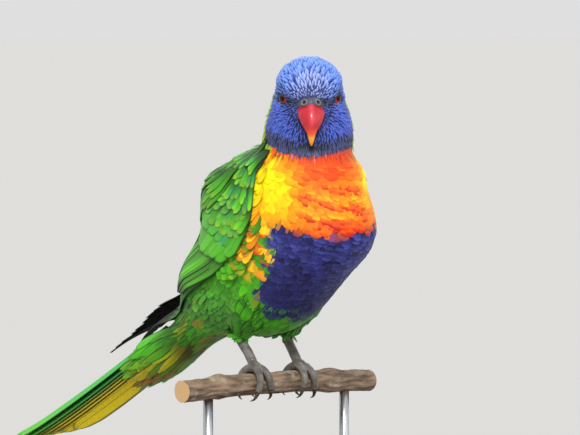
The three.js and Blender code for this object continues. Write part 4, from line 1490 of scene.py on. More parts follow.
class Vanes:
    """Collects closed thin vanes, with their colours and maps, for one mesh."""

    def __init__(self):
        self.points, self.faces, self.blades, self.cells = [], [], [], []
        self.plumes, self.fringes, self.tints = [], [], []
        self.count = 0

    def add(self, top, under, across, share, plume, fringe, shade):
        """Adds one vane. A colour is one for the whole vane or one for each row."""
        rows, columns = top.shape[:2]
        start = self.count
        size = rows * columns
        self.points += [top.reshape(-1, 3), under.reshape(-1, 3)]
        blade = np.stack(np.broadcast_arrays(across[None, :] / 2 + 0.5, share[:, None]), -1).reshape(-1, 2)
        self.blades += [blade, blade]
        self.cells += [np.full(2 * size, len(self.cells))]
        for i in range(rows - 1):
            for j in range(columns - 1):
                a = start + i * columns + j
                self.faces.append((a, a + 1, a + columns + 1, a + columns))
                b = a + size
                self.faces.append((b, b + columns, b + columns + 1, b + 1))
        rims = [(i, j, columns, j > 0) for i in range(rows - 1) for j in (0, columns - 1)]
        rims += [(i, j, 1, i > 0) for j in range(columns - 1) for i in (0, rows - 1)]
        for i, j, step, reverse in rims:
            a = start + i * columns + j
            quad = (a, a + step, a + step + size, a + size)
            self.faces.append(quad[::-1] if reverse else quad)
        for kept_colours, colour in ((self.plumes, plume), (self.fringes, fringe)):
            spread = np.broadcast_to(np.atleast_2d(colour)[:, None, :], (rows, columns, 3))
            kept_colours.append(np.tile(spread.reshape(-1, 3), (2, 1)))
        self.tints.append(np.full(2 * size, shade))
        self.count += 2 * size

    def build(self, name):
        mesh = mesh_from(name, to_metres(np.vstack(self.points)), self.faces)
        store(mesh, "Plume", np.vstack(self.plumes), "FLOAT_COLOR")
        store(mesh, "Fringe", np.vstack(self.fringes), "FLOAT_COLOR")
        store(mesh, "Tint", np.concatenate(self.tints))
        corners = whole_numbers(mesh.loops, "vertex_index")
        blade = np.vstack(self.blades)[corners]
        cell = np.concatenate(self.cells)[corners]
        columns = math.ceil(math.sqrt(len(self.cells) * 3))
        rows = math.ceil(len(self.cells) / columns)
        place = np.column_stack([(cell % columns + 0.1 + 0.8 * blade[:, 0]) / columns,
                                 (cell // columns + 0.05 + 0.9 * blade[:, 1]) / rows])
        add_map(mesh, "Blade", blade)
        add_map(mesh, "OFBake", place)
        return new_object(name, mesh)


def rounded_tip(left, tip):
    """The share of its width that a vane has at a distance from its end."""
    near = np.clip(1 - left / tip, 0, 1)
    return np.sqrt(np.maximum(1 - near ** 2.2, 0))


def own_shade(seed):
    return 0.5 + 0.5 * varied(seed + 9)


# %% The tiers of the wing
# Each tier has a count, where its first and last vanes start and end along the axis, half a vane's
# width, the length of its rounded tip, its heights over the wing's surface, how much one vane lies
# over the last, and the part of the wing's height that it covers.
WHOLE = (0.05, 0.96)
RISE_OF_PRIMARIES = [(0, 1.2), (0.25, 1.5), (1, 1.3)]
RISE_OF_SECONDARIES = [(0, 1.4), (0.4, 2.4), (1, 2.7)]
RISE_OF_TERTIALS = [(0, 1.4), (0.4, 3.2), (1, 3.6)]
RISE_OF_GREATER = [(0, 1.4), (0.5, 2.8), (1, 3.4)]
RISE_OF_MEDIAN = [(0, 1.5), (0.5, 2.9), (1, 3.4)]
RISE_OF_COVERTS = [(0, 1.5), (0.5, 2.7), (1, 3.4)]
RISE_OF_SHOULDER = [(0, 0.4), (0.5, 1.9), (1, 2.9)]
RISE_OF_SCAPULARS = [(0, 1.0), (0.4, 3.3), (1, 4.1)]
WING_TIERS = [
    ("primary", 9, (64, 68), (176, 137), 3.1, 26, RISE_OF_PRIMARIES, 0.42, WHOLE),
    ("secondary", 21, (46, 54), (103, 118), 2.3, 9, RISE_OF_SECONDARIES, 0.34, WHOLE),
    ("greater", 10, (36, 42), (64, 77), 3.9, 6, RISE_OF_GREATER, 0.28, WHOLE),
    ("median", 12, (33, 38), (54, 63), 2.9, 4.6, RISE_OF_MEDIAN, 0.2, WHOLE),
    ("lesser", 13, (29, 34), (48, 55), 2.5, 4, RISE_OF_COVERTS, 0.15, WHOLE),
    ("lesser", 14, (25, 30), (42, 48), 2.2, 3.7, RISE_OF_COVERTS, 0.15, WHOLE),
    ("lesser", 14, (21, 26), (37, 43), 2.1, 3.5, RISE_OF_COVERTS, 0.15, WHOLE),
    ("lesser", 13, (17, 21), (32, 37), 2.0, 3.4, RISE_OF_COVERTS, 0.15, WHOLE),
    ("lesser", 12, (13, 16), (27, 31), 1.9, 3.3, RISE_OF_SHOULDER, 0.15, WHOLE),
    ("lesser", 11, (9, 12), (22, 26), 1.8, 3.2, RISE_OF_SHOULDER, 0.15, WHOLE),
    ("lesser", 10, (6, 9), (17, 20), 1.7, 3.0, RISE_OF_SHOULDER, 0.15, WHOLE),
    ("tertial", 7, (38, 44), (96, 107), 2.6, 12, RISE_OF_TERTIALS, 0.3, (0.72, 1.1)),
    ("scapular", 10, (24, 36), (64, 82), 2.0, 12, RISE_OF_SCAPULARS, 0.3, (0.7, 1.12)),
    ("scapular", 11, (17, 29), (52, 66), 1.8, 11, RISE_OF_SCAPULARS, 0.3, (0.6, 1.14)),
    ("scapular", 10, (11, 22), (42, 53), 1.7, 10, RISE_OF_SCAPULARS, 0.28, (0.66, 1.14)),
    ("scapular", 11, (6, 15), (32, 42), 1.6, 8, RISE_OF_SHOULDER, 0.26, (0.5, 1.14)),
    ("scapular", 9, (3, 9), (24, 32), 1.5, 6, RISE_OF_SHOULDER, 0.24, (0.56, 1.12)),
]
VANE_LEAN = 0.2
VANE_THICK = 0.24
SHAFT_WIDTH = 0.13
LONG_ROWS = 26
SHORT_ROWS = 12
LONG_KINDS = ("primary", "secondary", "tertial", "scapular")


# %% Colours and width of a vane
def shaded_root(t):
    """Darkens a vane's rows towards the part that the tier above covers."""
    return mix(0.35, 1.0, smooth(t, 0.4, 0.8))[:, None]


def vane_colours(kind, seed, t):
    """A vane's own colour, row by row, and the colour of its end."""
    shift = 0.5 + 0.5 * varied(seed + 3)
    if kind == "primary":
        dark = np.repeat(smooth(t, 0.4, 0.62)[:, None], 3, axis=1)
        return mix(WING_GREEN * 0.7, TIP_BLACK, dark), TIP_BLACK
    if kind in ("secondary", "tertial"):
        plume = mix(WING_GREEN * 0.75, FLIGHT_GREEN, 0.1 + 0.8 * shift)
        # The end of a secondary or tertial is nearly black: partly the feather's own dark, partly painted
        # shade where it lies over the next.
        return plume, plume * 0.22
    if kind == "greater":
        plume = mix(WING_GREEN, FLIGHT_GREEN, 0.55 * shift)
        return plume, mix(plume, FLIGHT_GREEN, 0.3)
    if kind == "median":
        plume = mix(COVERT_TEAL, WING_GREEN, 0.1 + 0.8 * shift)
        return plume, mix(plume, FLIGHT_GREEN, 0.6)
    if kind == "scapular":
        plume = mix(BACK_DARK, WING_GREEN, 0.15 + 0.85 * shift)
        return plume * (0.45 + 0.55 * shaded_root(t)), mix(plume, COLLAR_LIME, 0.35)
    plume = mix(COVERT_GREEN, mix(COVERT_TEAL, WING_GREEN, float(shift > 0.45)), 0.3 + 0.6 * shift)
    return plume * shaded_root(t), mix(plume, COLLAR_LIME, 0.4)


def vane_width(half, tip, t, left, seed):
    """Half the width of each row, with a slightly different end for each vane."""
    tip = tip * (1 + 0.25 * varied(seed + 15))
    wide = half * rounded_tip(left, tip) * mix(0.55, 1, smooth(t, 0, 0.3))
    return np.maximum(wide, 0.05)


# %% Both wings
def add_wing_vane(vanes, side, tier, number, seed):
    kind, count, start, end, half, tip, rise, step, part = tier
    share = number / (count - 1)
    loose = 0.5 if kind == "primary" else 1.0
    spread = 4.0 if kind == "scapular" else 2.4
    first = mix(*start, share) + 0.8 * varied(seed + 1)
    last = mix(*end, share) + spread * loose * varied(seed)
    rows = LONG_ROWS if kind in LONG_KINDS else SHORT_ROWS
    t = np.minimum(1 - (1 - np.linspace(0, 1, rows)) ** 1.5, 1 - 0.0006)
    along = mix(first, last, t)

    low, high = wing_edges(side, along)
    over = share if kind in LONG_KINDS else (number + 0.15 + 0.6 * (seed % 2)) / count
    middle = mix(low, high, mix(*part, over)) + 2.2 * loose * varied(seed + 7) * t
    degree = np.radians(wing_radius(along, middle))
    pitch = (high - low) * degree * (part[1] - part[0]) / (count - 1)
    half = half * (1 + 0.11 * varied(seed + 5))
    wide = np.minimum(vane_width(half, tip, t, last - along, seed), 0.4 + 1.05 * pitch)
    offset = wide[:, None] * ACROSS[None, :]
    angle = middle[:, None] + offset / degree[:, None]

    lean = np.minimum(VANE_LEAN, step / np.maximum(pitch, 0.05))
    by_ridge = float(smooth(share * part[1], 0.8, 1.08)) if kind == "scapular" else 0.0
    height = mix(1, 0.4, by_ridge) * read(rise, t) + number * np.maximum(step - lean * pitch, 0)
    height = height + 0.25 * loose * varied(seed + 17) * t
    lying = height[:, None] - offset * lean[:, None] - 0.09 * half * ACROSS[None, :] ** 2
    ridge = 0.16 * bell(ACROSS, SHAFT_WIDTH) * (wide / half)[:, None]
    thick = VANE_THICK * (1 - 0.65 * np.abs(ACROSS) ** 2)
    top = wing_point(side, along[:, None], angle, lying + thick + ridge)
    under = wing_point(side, along[:, None], angle, lying)
    plume, fringe = vane_colours(kind, seed, t)
    vanes.add(top, under, ACROSS, t, plume, fringe, own_shade(seed))


def wing_arm(vanes, side):
    """The smooth arm under the coverts, which closes the gaps at their roots with a dark sheet of painted
    shade.
    """
    along = np.linspace(16, 72, 24)
    share = np.linspace(0.03, 0.97, 12)
    low, high = wing_edges(side, along)
    angle = low[:, None] + (high - low)[:, None] * share[None, :]
    bulge = 0.6 + 0.4 * np.sin(np.pi * share)
    thick = 1.1 * (1 - 0.9 * smooth(along, 48, 66))[:, None] * bulge[None, :]
    top = wing_point(side, along[:, None], angle, 1.2 + thick)
    under = wing_point(side, along[:, None], angle, 1.2)
    # Painted shade: the arm is coloured a nearly black green with a low tint, as the gaps that it fills
    # lie in shade.
    dark = COVERT_GREEN * 0.3
    vanes.add(top, under, share * 2 - 1, np.linspace(0, 0.6, len(along)), dark, dark, 0.3)


def make_wing(side, name):
    vanes = Vanes()
    wing_arm(vanes, side)
    for t, tier in enumerate(WING_TIERS):
        for number in range(tier[1]):
            add_wing_vane(vanes, side, tier, number, t * 31 + number * 14 + side)
    piece = vanes.build(f"feathers_wing_{name}")
    finished(piece, "plumage_green", f"wing_{name}", material=FIRM_FEATHER)


for side_sign, name in SIDES:
    make_wing(side_sign, name)

# %% [markdown]
# ## The tail
# The tail has twelve graduated feathers. The middle pair lies on top and folds over the ridge, and
# each further pair is shorter and lies a step lower, so the tail is roofed and comes to a point. A
# flat fan would be simpler, but the real one folds along its middle when it is closed.

# %% Tail
TAIL_FEATHER = feather_material(
    "Tail feather", SHAFT_GREEN, TAIL_EDGE,
    Shaft_width=0.07, Shaft_strength=0.6, Fringe_start=0.35, Fringe_end=0.95,
    Barbs=420.0, Rim_strength=0.85, Root_shade=0.7, Root_end=0.3,
)
TAIL_RIDGE = [(70, 24.6), (79.5, 19.5), (107, 4.1), (134.8, -10.7), (163.2, -24.9), (180, -32.6)]
TAIL_SLOPE = math.radians(42)
TAIL_SHAPE = [(0, 0.7), (0.3, 0.92), (0.6, 1), (0.8, 0.95), (0.9, 0.74), (0.96, 0.45), (1, 0.05)]
TAIL_PAIRS = 6
TAIL_STEP = 0.95
ridge_path = Path([(0, y, z) for y, z in TAIL_RIDGE])


def tail_point(t, across, depth):
    """A place on the roofed tail: its share of the length, how far across, and how deep under."""
    t, across, depth = np.broadcast_arrays(t, across, depth)
    at = ridge_path.at(t * ridge_path.length)
    up = ridge_path.back(t * ridge_path.length)
    out = np.abs(across)
    lean = TAIL_SLOPE * smooth(out, 0, 1.2)
    over = out * math.cos(TAIL_SLOPE) - depth * np.sin(lean)
    drop = out * math.sin(TAIL_SLOPE) + depth * np.cos(lean)
    sideways = (np.sign(across) * over)[..., None] * [1, 0, 0]
    return at + sideways - up * drop[..., None]


def add_tail_vane(vanes, side, pair):
    seed = pair * 13 + side * 5
    end = mix(1, 0.74, pair / (TAIL_PAIRS - 1)) - 0.006 * (1 + side) + 0.006 * varied(seed)
    level = 0 if pair == 0 and side < 0 else pair + 1
    depth = TAIL_STEP * level
    inmost = 0.3 + (depth + 0.5) * math.tan(TAIL_SLOPE)
    u = 1 - (1 - np.linspace(0, 1, 34)) ** 1.4
    t = mix(0.04, end, u)
    wide = read(TAIL_SHAPE, u)
    middle = 3.4 + 1.5 * pair
    half = 5 * wide * (1 + 0.04 * varied(seed + 2))
    inner = np.maximum(middle - half, inmost)
    outer = np.maximum(middle + half, inmost + 0.3)
    if pair == 0:
        inner = -2 * wide
    share = ACROSS / 2 + 0.5
    place = inner[:, None] + (outer - inner)[:, None] * share[None, :]
    thick = 0.34 * (1 - 0.6 * np.abs(ACROSS) ** 2)
    ridge = 0.2 * bell(ACROSS, SHAFT_WIDTH)
    top = tail_point(t[:, None], side * place, depth - ridge)
    under = tail_point(t[:, None], side * place, depth + thick)
    low = smooth(pair, 1.2, 3.6)
    plume = mix(mix(TAIL_GREEN, TAIL_TEAL, 0.3 + 0.2 * pair), TAIL_OLIVE, low)
    fringe = mix(TAIL_GREEN, TAIL_OLIVE, 0.05 + 0.95 * low)
    vanes.add(top, under, ACROSS, u, plume, fringe, own_shade(seed))


def make_tail():
    vanes = Vanes()
    for pair in range(TAIL_PAIRS):
        add_tail_vane(vanes, -1, pair)
        add_tail_vane(vanes, 1, pair)
    finished(vanes.build("feathers_tail"), "tail_feathers", "tail", material=TAIL_FEATHER)


make_tail()

# %% [markdown]
# ## Bill and cere
# The bill is horn over bone, lofted through sections that lean further down towards the tip. It is
# smooth and slightly waxy, so one clear coat and a little light under the surface carry it. The cere
# is bare skin round the nostrils, swollen into two soft rims.

# %% Bill
UPPER_BILL = [
    (-9, 0.2, 5.0, 3.4, 0), (-14, 0, 5.5, 3.3, 0), (-18.5, -0.9, 5.85, 3.5, 22),
    (-22, -3.0, 5.35, 3.9, 50), (-23.9, -6.0, 3.9, 3.2, 70), (-24.7, -8.4, 2.35, 2.3, 78),
    (-25.1, -10.4, 1.6, 1.7, 83), (-25.35, -12.6, 1.05, 1.05, 86), (-25.3, -14.4, 0.35, 0.35, 92),
]
LOWER_BILL = [
    (-8, -5.6, 4.6, 3.4, 0), (-13.5, -6.6, 5.3, 3.5, 18), (-17.5, -8.2, 5.3, 3.2, 30),
    (-20.0, -9.8, 4.1, 2.2, 38), (-21.2, -10.6, 2.2, 0.9, 42),
]


def tube_faces(rings, around_count):
    faces = []
    for i in range(rings - 1):
        for j in range(around_count):
            k = (j + 1) % around_count
            a = i * around_count
            faces.append((a + j, a + k, a + around_count + k, a + around_count + j))
    faces.append(tuple(range(around_count))[::-1])
    faces.append(tuple(range((rings - 1) * around_count, rings * around_count)))
    return faces


BILL_COUNT = 48


def bill_piece(name, sections, keel):
    """A closed loft through sections of place, height, half width, half depth and lean."""
    fine = smooth_curve(sections, 10)
    turn = full_turn(BILL_COUNT)
    rings = []
    for y, z, wide, deep, lean in fine:
        lean = math.radians(lean)
        up = np.array([0, -math.sin(lean), math.cos(lean)])
        narrow = 1 - 0.16 * np.maximum(np.sin(turn), 0)
        across = wide * narrow * np.cos(turn)
        over = deep * np.sin(turn) * (1 + keel * bell(turn - np.pi / 2, 0.28))
        rings.append(np.array([0, y, z]) + np.outer(across, [1, 0, 0]) + np.outer(over, up))
    points = head_metres(np.vstack(rings))
    return closed_piece(name, points, tube_faces(len(fine), BILL_COUNT))


# %% Horn of the bill
def head_place(tree):
    """Object coordinates turned into the head's own millimetres."""
    moved = vector_node(tree, "SUBTRACT", object_place(tree), tuple(to_metres(HEAD_AT)))
    turn_axis, angle = Matrix(HEAD_TURN.tolist()).to_quaternion().to_axis_angle()
    inputs = {"Vector": moved, "Axis": turn_axis, "Angle": angle}
    turned = node(tree, "ShaderNodeVectorRotate", inputs, rotation_type="AXIS_ANGLE", invert=True)
    return vector_node(tree, "SCALE", turned.outputs[0], 1000.0)


def bill_material():
    material, tree, shader = new_material(
        "Bill horn", 0.32, Coat_Weight=0.35, Coat_Roughness=0.2,
        Subsurface_Weight=0.12, Subsurface_Scale=0.002,
    )
    where = head_place(tree)
    split = node(tree, "ShaderNodeSeparateXYZ", {0: where}).outputs
    down = ramp_node(tree, split[2], -5.5, -9.0)
    tip = ramp_node(tree, split[2], -8.6, -11.2)
    colour = mix_node(tree, down, rgba("b80c20"), rgba("ec4a0c"))
    colour = mix_node(tree, tip, colour, rgba("f7ab1c"))
    # Painted highlight: a paler pink along the middle of the upper bill's ridge.
    middle = ramp_node(tree, math_node(tree, "ABSOLUTE", split[0]), 2.0, 0.0)
    ridge = times(tree, middle, ramp_node(tree, split[2], -9.0, -2.0))
    colour = mix_node(tree, times(tree, ridge, 0.4), colour, rgba("ea5c6c"))
    dark = mix_node(tree, 1.0, colour, (0.72, 0.6, 0.6, 1), "MULTIPLY")
    made = uneven(tree, colour, dark, where, 0.45, 0.6)
    dress(tree, shader, made["Color"], made["Height"], 0.00025, 0.3)
    return material


BILL_HORN = bill_material()
upper = bill_piece("bill_horn_upper", UPPER_BILL, 0.07)
finished(upper, "bill", "bill_upper", material=BILL_HORN)
lower = bill_piece("bill_horn_lower", LOWER_BILL, 0.0)
finished(lower, "bill", "bill_lower", material=BILL_HORN)

# %% Cere
NOSTRIL_AT = np.array([2.9, -18.9, 3.5])
CERE_LEAN = 28


def ring_points(turn, radius, z):
    return np.column_stack([radius * np.cos(turn), radius * np.sin(turn), np.full(len(turn), z)])


def ball_points(rows, columns):
    """The points and faces of a ball of radius one."""
    turn = full_turn(columns)
    down = np.linspace(0, np.pi, rows + 1)[1:-1]
    rings = [ring_points(turn, np.sin(angle), np.cos(angle)) for angle in down]
    points = np.vstack([[[0, 0, 1]], *rings, [[0, 0, -1]]])
    faces = []
    last = len(points) - 1
    for j in range(columns):
        k = (j + 1) % columns
        faces.append((0, 1 + j, 1 + k))
        faces.append((last, last - columns + k, last - columns + j))
        for i in range(rows - 2):
            a = 1 + i * columns
            faces.append((a + j, a + columns + j, a + columns + k, a + k))
    return points, faces


def cere_piece():
    """A flattened ball with a swollen lobe, a rim and a pit at each nostril."""
    ball, faces = ball_points(60, 90)
    lean = np.array(Matrix.Rotation(math.radians(CERE_LEAN), 3, "X"))
    local = (ball * CERE_HALF) @ lean.T + CERE_AT
    normal = unit((ball / CERE_HALF) @ lean.T)
    pit = np.zeros(len(local))
    pale = np.zeros(len(local))
    for side_sign, _ in SIDES:
        away = lengths(local - NOSTRIL_AT * [side_sign, 1, 1])
        lobe = 0.9 * bell(away, 2.4)
        rim = 0.5 * bell(away - 1.0, 0.35)
        hole = -1.4 * bell(away, 0.6)
        local = local + normal * (lobe + rim + hole)[:, None]
        # Painted shade: the middle of each nostril's pit is marked, to be coloured nearly black.
        pit = np.maximum(pit, np.exp(-(away / 0.62) ** 4))
        pale = np.maximum(pale, bell(away - 1.05, 0.28))
    dip = 0.45 * bell(local[:, 0], 1.1)
    local = local - normal * dip[:, None]
    local[:, 2] -= 1.2 * (local[:, 0] / CERE_HALF[0]) ** 2
    return closed_piece("cere_skin", head_metres(local), faces, Pit=pit, Rim=pale)


def bare_skin_material(name, light, dark, scale, depth):
    """Scaly skin, paler where Rim is stored on the mesh, and nearly black, as painted shade, where Pit is.
    """
    material, tree, shader = new_material(name, 0.5, Coat_Weight=0.08)
    where = object_place(tree)
    made = uneven(tree, rgba(light), rgba(dark), where, scale, 0.8)
    inputs = {"Vector": where, "Scale": scale * 4}
    cells = node(tree, "ShaderNodeTexVoronoi", inputs, feature="DISTANCE_TO_EDGE")
    crease = ramp_node(tree, cells.outputs["Distance"], 0.0, 0.12)
    height = times_plus(tree, crease, 0.8, made["Height"])
    pale = times(tree, attribute_node(tree, "Rim", "Fac"), 0.4)
    colour = mix_node(tree, pale, made["Color"], rgba("a4a6ac"))
    # Painted shade: nearly black in the nostrils' pits.
    colour = mix_node(tree, attribute_node(tree, "Pit", "Fac"), colour, rgba("241010"))
    roughness = times_plus(tree, made["Mask"], 0.2, 0.4)
    dress(tree, shader, colour, height, depth, 0.7, roughness)
    return material


CERE_SKIN = bare_skin_material("Cere skin", "4c5160", "23252e", 300.0, 0.00015)
finished(cere_piece(), "cere", "cere", material=CERE_SKIN)

# %% [markdown]
# ## Eyes
# The eye is a smooth ball with a black pupil in an orange-red iris, under a clear coat that gives it
# one sharp highlight. Two fleshy dark lids close round it. The rings of colour are drawn by their
# distance from the line of sight, because separate discs on a ball would leave seams.


# %% Eyeballs
PUPIL_FACING = unit([1, -0.85, 0.16])
PUPIL_RADIUS = 1.6
IRIS_RADIUS = 2.4


def eye_material(side_sign, name):
    material, tree, shader = new_material(
        f"Eye {name}", 0.2, Specular_IOR_Level=0.15, Coat_Weight=0.14, Coat_Roughness=0.03,
    )
    at = tuple(EYE_AT * [side_sign, 1, 1])
    facing = tuple(PUPIL_FACING * [side_sign, 1, 1])
    offset = vector_node(tree, "SUBTRACT", head_place(tree), at)
    crossed = vector_node(tree, "CROSS_PRODUCT", offset, facing)
    beside = vector_node(tree, "LENGTH", crossed)
    fibres = noise_node(tree, crossed, 2.6, 4.0)
    iris = mix_node(tree, ramp_node(tree, fibres, 0.35, 0.65), rgba("8c0a06"), rgba("e0260c"))
    in_iris = ramp_node(tree, beside, PUPIL_RADIUS - 0.05, PUPIL_RADIUS + 0.1)
    past_iris = ramp_node(tree, beside, IRIS_RADIUS - 0.15, IRIS_RADIUS + 0.1)
    colour = mix_node(tree, in_iris, rgba("030303"), iris)
    colour = mix_node(tree, past_iris, colour, rgba("1a0f0e"))
    dress(tree, shader, colour, fibres, 0.00005, 0.3)
    return material


def make_eye(side_sign, name):
    ball, faces = ball_points(40, 64)
    local = ball * EYE_RADIUS + EYE_AT * [side_sign, 1, 1]
    piece = closed_piece(f"eyeball_{name}", head_metres(local), faces)
    finished(piece, "eye", f"eye_{name}", material=eye_material(side_sign, name))


# %% Lids
LID_SKIN = bare_skin_material("Lid skin", "2b2c38", "15161f", 500.0, 0.0001)
LID_STEPS = 72
LID_ROUND = 12
LID_WIDE = 2.35
LID_ABOVE = 1.55
LID_BELOW = 2.15


def make_lids(side_sign, name):
    """A wrinkled tube round the eye, thicker along its upper half."""
    facing = EYE_FACING * [side_sign, 1, 1]
    across = unit(np.cross([0, 0, 1.0], facing))
    over = np.cross(facing, across)
    tube_turn = full_turn(LID_ROUND)
    rings = []
    for angle in full_turn(LID_STEPS):
        raised = max(math.sin(angle), 0)
        high = LID_ABOVE if raised > 0 else LID_BELOW
        outline = LID_WIDE * across * math.cos(angle) + high * over * math.sin(angle)
        out = unit(outline)
        thick = 0.42 + 0.3 * raised + 0.05 * math.sin(angle * 15)
        centre = EYE_AT * [side_sign, 1, 1] + outline + facing * (2.4 + 0.3 * raised)
        ring = np.outer(np.cos(tube_turn), out) + np.outer(np.sin(tube_turn), facing)
        rings.append(centre + thick * ring)
    faces = []
    for i in range(LID_STEPS):
        for j in range(LID_ROUND):
            a, b = i * LID_ROUND, ((i + 1) % LID_STEPS) * LID_ROUND
            k = (j + 1) % LID_ROUND
            faces.append((a + j, b + j, b + k, a + k))
    points = head_metres(np.vstack(rings))
    finished(closed_piece(f"lids_{name}", points, faces), "cere", material=LID_SKIN)


for side_sign, name in SIDES:
    make_eye(side_sign, name)
    make_lids(side_sign, name)

# %% [markdown]
# ## Feet and claws
# The feet are bare grey skin in small scales. The solids give the grip, so they are copied, merged
# and remeshed finely, which rounds the places where toes meet. The claws are dark horn.


# %% Feet and claws
FOOT_SKIN = bare_skin_material("Foot skin", "77726c", "3f3b3a", 260.0, 0.0003)


def claw_material():
    material, tree, shader = new_material("Claw horn", 0.3, Coat_Weight=0.3)
    made = uneven(tree, rgba("2a2623"), rgba("5a4d41"), object_place(tree), 350.0, 0.6)
    dress(tree, shader, made["Color"], made["Height"], 0.0001, 0.4)
    return material


CLAW_HORN = claw_material()
FOOT_VOXEL = 0.36
CLAW_VOXEL = 0.2
TOE_NAMES = ["inner_front", "outer_front", "inner_back", "outer_back"]
for side_sign, name in SIDES:
    foot_copy = new_object(f"foot_skin_{name}", merged_copy(f"foot_{name}"))
    foot = remeshed(foot_copy, FOOT_VOXEL, 3)
    finished(foot, "foot_skin", f"foot_{name}", material=FOOT_SKIN)
    for toe in TOE_NAMES:
        horn_copy = new_object(f"claw_horn_{toe}_{name}", merged_copy(f"claw_{toe}_{name}"))
        claw = remeshed(horn_copy, CLAW_VOXEL, 2)
        finished(claw, "claw", f"claw_{toe}_{name}", material=CLAW_HORN)

# %% [markdown]
# ## Branch and stand
# The branch is a cut length with rough bark, knots and clean sawn ends. Its relief is in the mesh,
# along the same path as the solid. The stand is a turned wooden disc with two steel rods.

# %% Branch
PERCH_RADIUS = 4.8
PERCH_LENGTH = 112
PERCH_DROOP = 2.2
PERCH_KNOTS = [-0.62, 0.56]
PERCH_STOPS = [-1, -0.72, -0.42, -0.2, 0.2, 0.45, 0.74, 1]
BRANCH_RINGS = 300
BRANCH_COUNT = 96


def branch_path():
    knots = []
    for u in PERCH_STOPS:
        bend = max(abs(u) - 0.3, 0)
        knots.append((u * PERCH_LENGTH / 2, 1.6 * bend * math.copysign(1, u), -PERCH_DROOP * bend))
    return Path(knots)


def bark_relief(x, turn):
    """Height of the bark in millimetres, in ridges that run along the branch."""
    wander = 0.7 * np.sin(x * 0.11) + 0.4 * np.sin(x * 0.31 + 1.7)
    ridges = np.sin(11 * turn + 3 * wander + 1.4 * np.sin(x * 0.24 + 2 * turn))
    cracks = np.minimum(np.sin(x * 0.9 + 4 * np.sin(3 * turn) + 2 * wander), 0)
    fine = np.sin(23 * turn + 1.7 * x) * np.sin(1.9 * x - 5 * turn)
    return 0.16 * ridges + 0.1 * cracks + 0.06 * fine - 0.12


def make_branch():
    path = branch_path()
    share = np.linspace(0, 1, BRANCH_RINGS)
    turn = full_turn(BRANCH_COUNT)
    at = path.at(share * path.length)
    slope = path.direction(share * path.length)
    rings = []
    for place, middle, ahead in zip(share, at, slope):
        up = unit(np.array([0, 0, 1.0]) - ahead * ahead[2])
        across = np.cross(ahead, up)
        x = 2 * place - 1
        knot = sum(0.8 * bell(x - k, 0.07) for k in PERCH_KNOTS)
        radius = PERCH_RADIUS + knot * (1 + 0.5 * np.cos(turn)) + 0.12 * np.sin(3 * turn + 9 * x)
        radius = radius + bark_relief(x * PERCH_LENGTH / 2, turn) * smooth(1 - abs(x), 0.0, 0.02)
        sideways = np.outer(radius * np.sin(turn), across)
        rings.append(middle + np.outer(radius * np.cos(turn), up) + sideways)
    points = to_metres(np.vstack(rings))
    return closed_piece("branch", points, tube_faces(BRANCH_RINGS, BRANCH_COUNT))


# %% Bark and sawn wood
def bark_material():
    material, tree, shader = new_material("Bark", 0.85)
    where = object_place(tree)
    stretched = mapped_place(tree, where, Scale=(0.25, 1.0, 1.0))
    made = uneven(tree, rgba("8a7460"), rgba("4a3a2e"), stretched, 420.0, 0.9)
    lichen = ramp_node(tree, noise_node(tree, where, 130.0, 4.0), 0.56, 0.66)
    colour = mix_node(tree, times(tree, lichen, 0.5), made["Color"], rgba("a7a48e"))
    dress(tree, shader, colour, made["Height"], 0.0005, 0.8)
    return material


def sawn_material():
    material, tree, shader = new_material("Sawn wood", 0.75)
    centre = mapped_place(tree, object_place(tree), Location=(0, 0.012, -0.044))
    inputs = {"Vector": centre, "Scale": 420.0, "Distortion": 1.5, "Detail": 2.0}
    rings = node(tree, "ShaderNodeTexWave", inputs, wave_type="RINGS", rings_direction="X").outputs["Fac"]
    colour = mix_node(tree, rings, rgba("d8b98c"), rgba("a97f50"))
    dress(tree, shader, colour, rings, 0.0001, 0.5)
    return material


branch = make_branch()
branch.data.materials.append(bark_material())
branch.data.materials.append(sawn_material())
for polygon in branch.data.polygons:
    if len(polygon.vertices) > 4:
        polygon.material_index = 1
        polygon.use_smooth = False
finished(branch, "bark", "perch")

# %% Stand
BASE_RADIUS = 66
BASE_HEIGHT = 10
BASE_BEVEL = 2
ROD_RADIUS = 2.2
ROD_SPREAD = 40
ROD_IN_BASE = 5
ROD_BELOW_MIDDLE = 4.6
PERCH_HEIGHT = 46


def turned(name, outline, count, centre):
    """A closed turned form from its outline of radius and height, in millimetres."""
    turn = full_turn(count)
    rings = [ring_points(turn, radius, z) for radius, z in outline]
    points = (np.vstack(rings) + centre) * MM
    return closed_piece(name, points, tube_faces(len(outline), count))


def base_outline():
    outline = [(BASE_RADIUS - 1, 0), (BASE_RADIUS - 0.3, 0.3), (BASE_RADIUS, 1)]
    outline += [(BASE_RADIUS, 1.2), (BASE_RADIUS, BASE_HEIGHT - BASE_BEVEL - 0.3)]
    for i in range(9):
        angle = math.radians(90 * i / 8)
        outline.append((BASE_RADIUS - BASE_BEVEL * (1 - math.cos(angle)),
                        BASE_HEIGHT - BASE_BEVEL * (1 - math.sin(angle))))
    outline += [(BASE_RADIUS - BASE_BEVEL - 0.3, BASE_HEIGHT), (BASE_RADIUS * 0.5, BASE_HEIGHT)]
    outline.append((1, BASE_HEIGHT))
    return outline


def wood_material():
    material, tree, shader = new_material("Stand wood", 0.4, Coat_Weight=0.25, Coat_Roughness=0.25)
    stretched = mapped_place(tree, object_place(tree), Scale=(0.12, 1.0, 1.0))
    inputs = {"Vector": stretched, "Scale": 60.0, "Distortion": 9.0, "Detail": 4.0, "Detail Scale": 2.0}
    grain = node(tree, "ShaderNodeTexWave", inputs, wave_type="BANDS", bands_direction="Y").outputs["Fac"]
    colour = mix_node(tree, grain, rgba("6b4a31"), rgba("3f2a1b"))
    pores = ramp_node(tree, noise_node(tree, stretched, 1800.0, 2.0), 0.6, 0.75)
    colour = mix_node(tree, times(tree, pores, 0.5), colour, rgba("24170e"))
    dress(tree, shader, colour, math_node(tree, "SUBTRACT", grain, pores), 0.0001, 0.4)
    return material


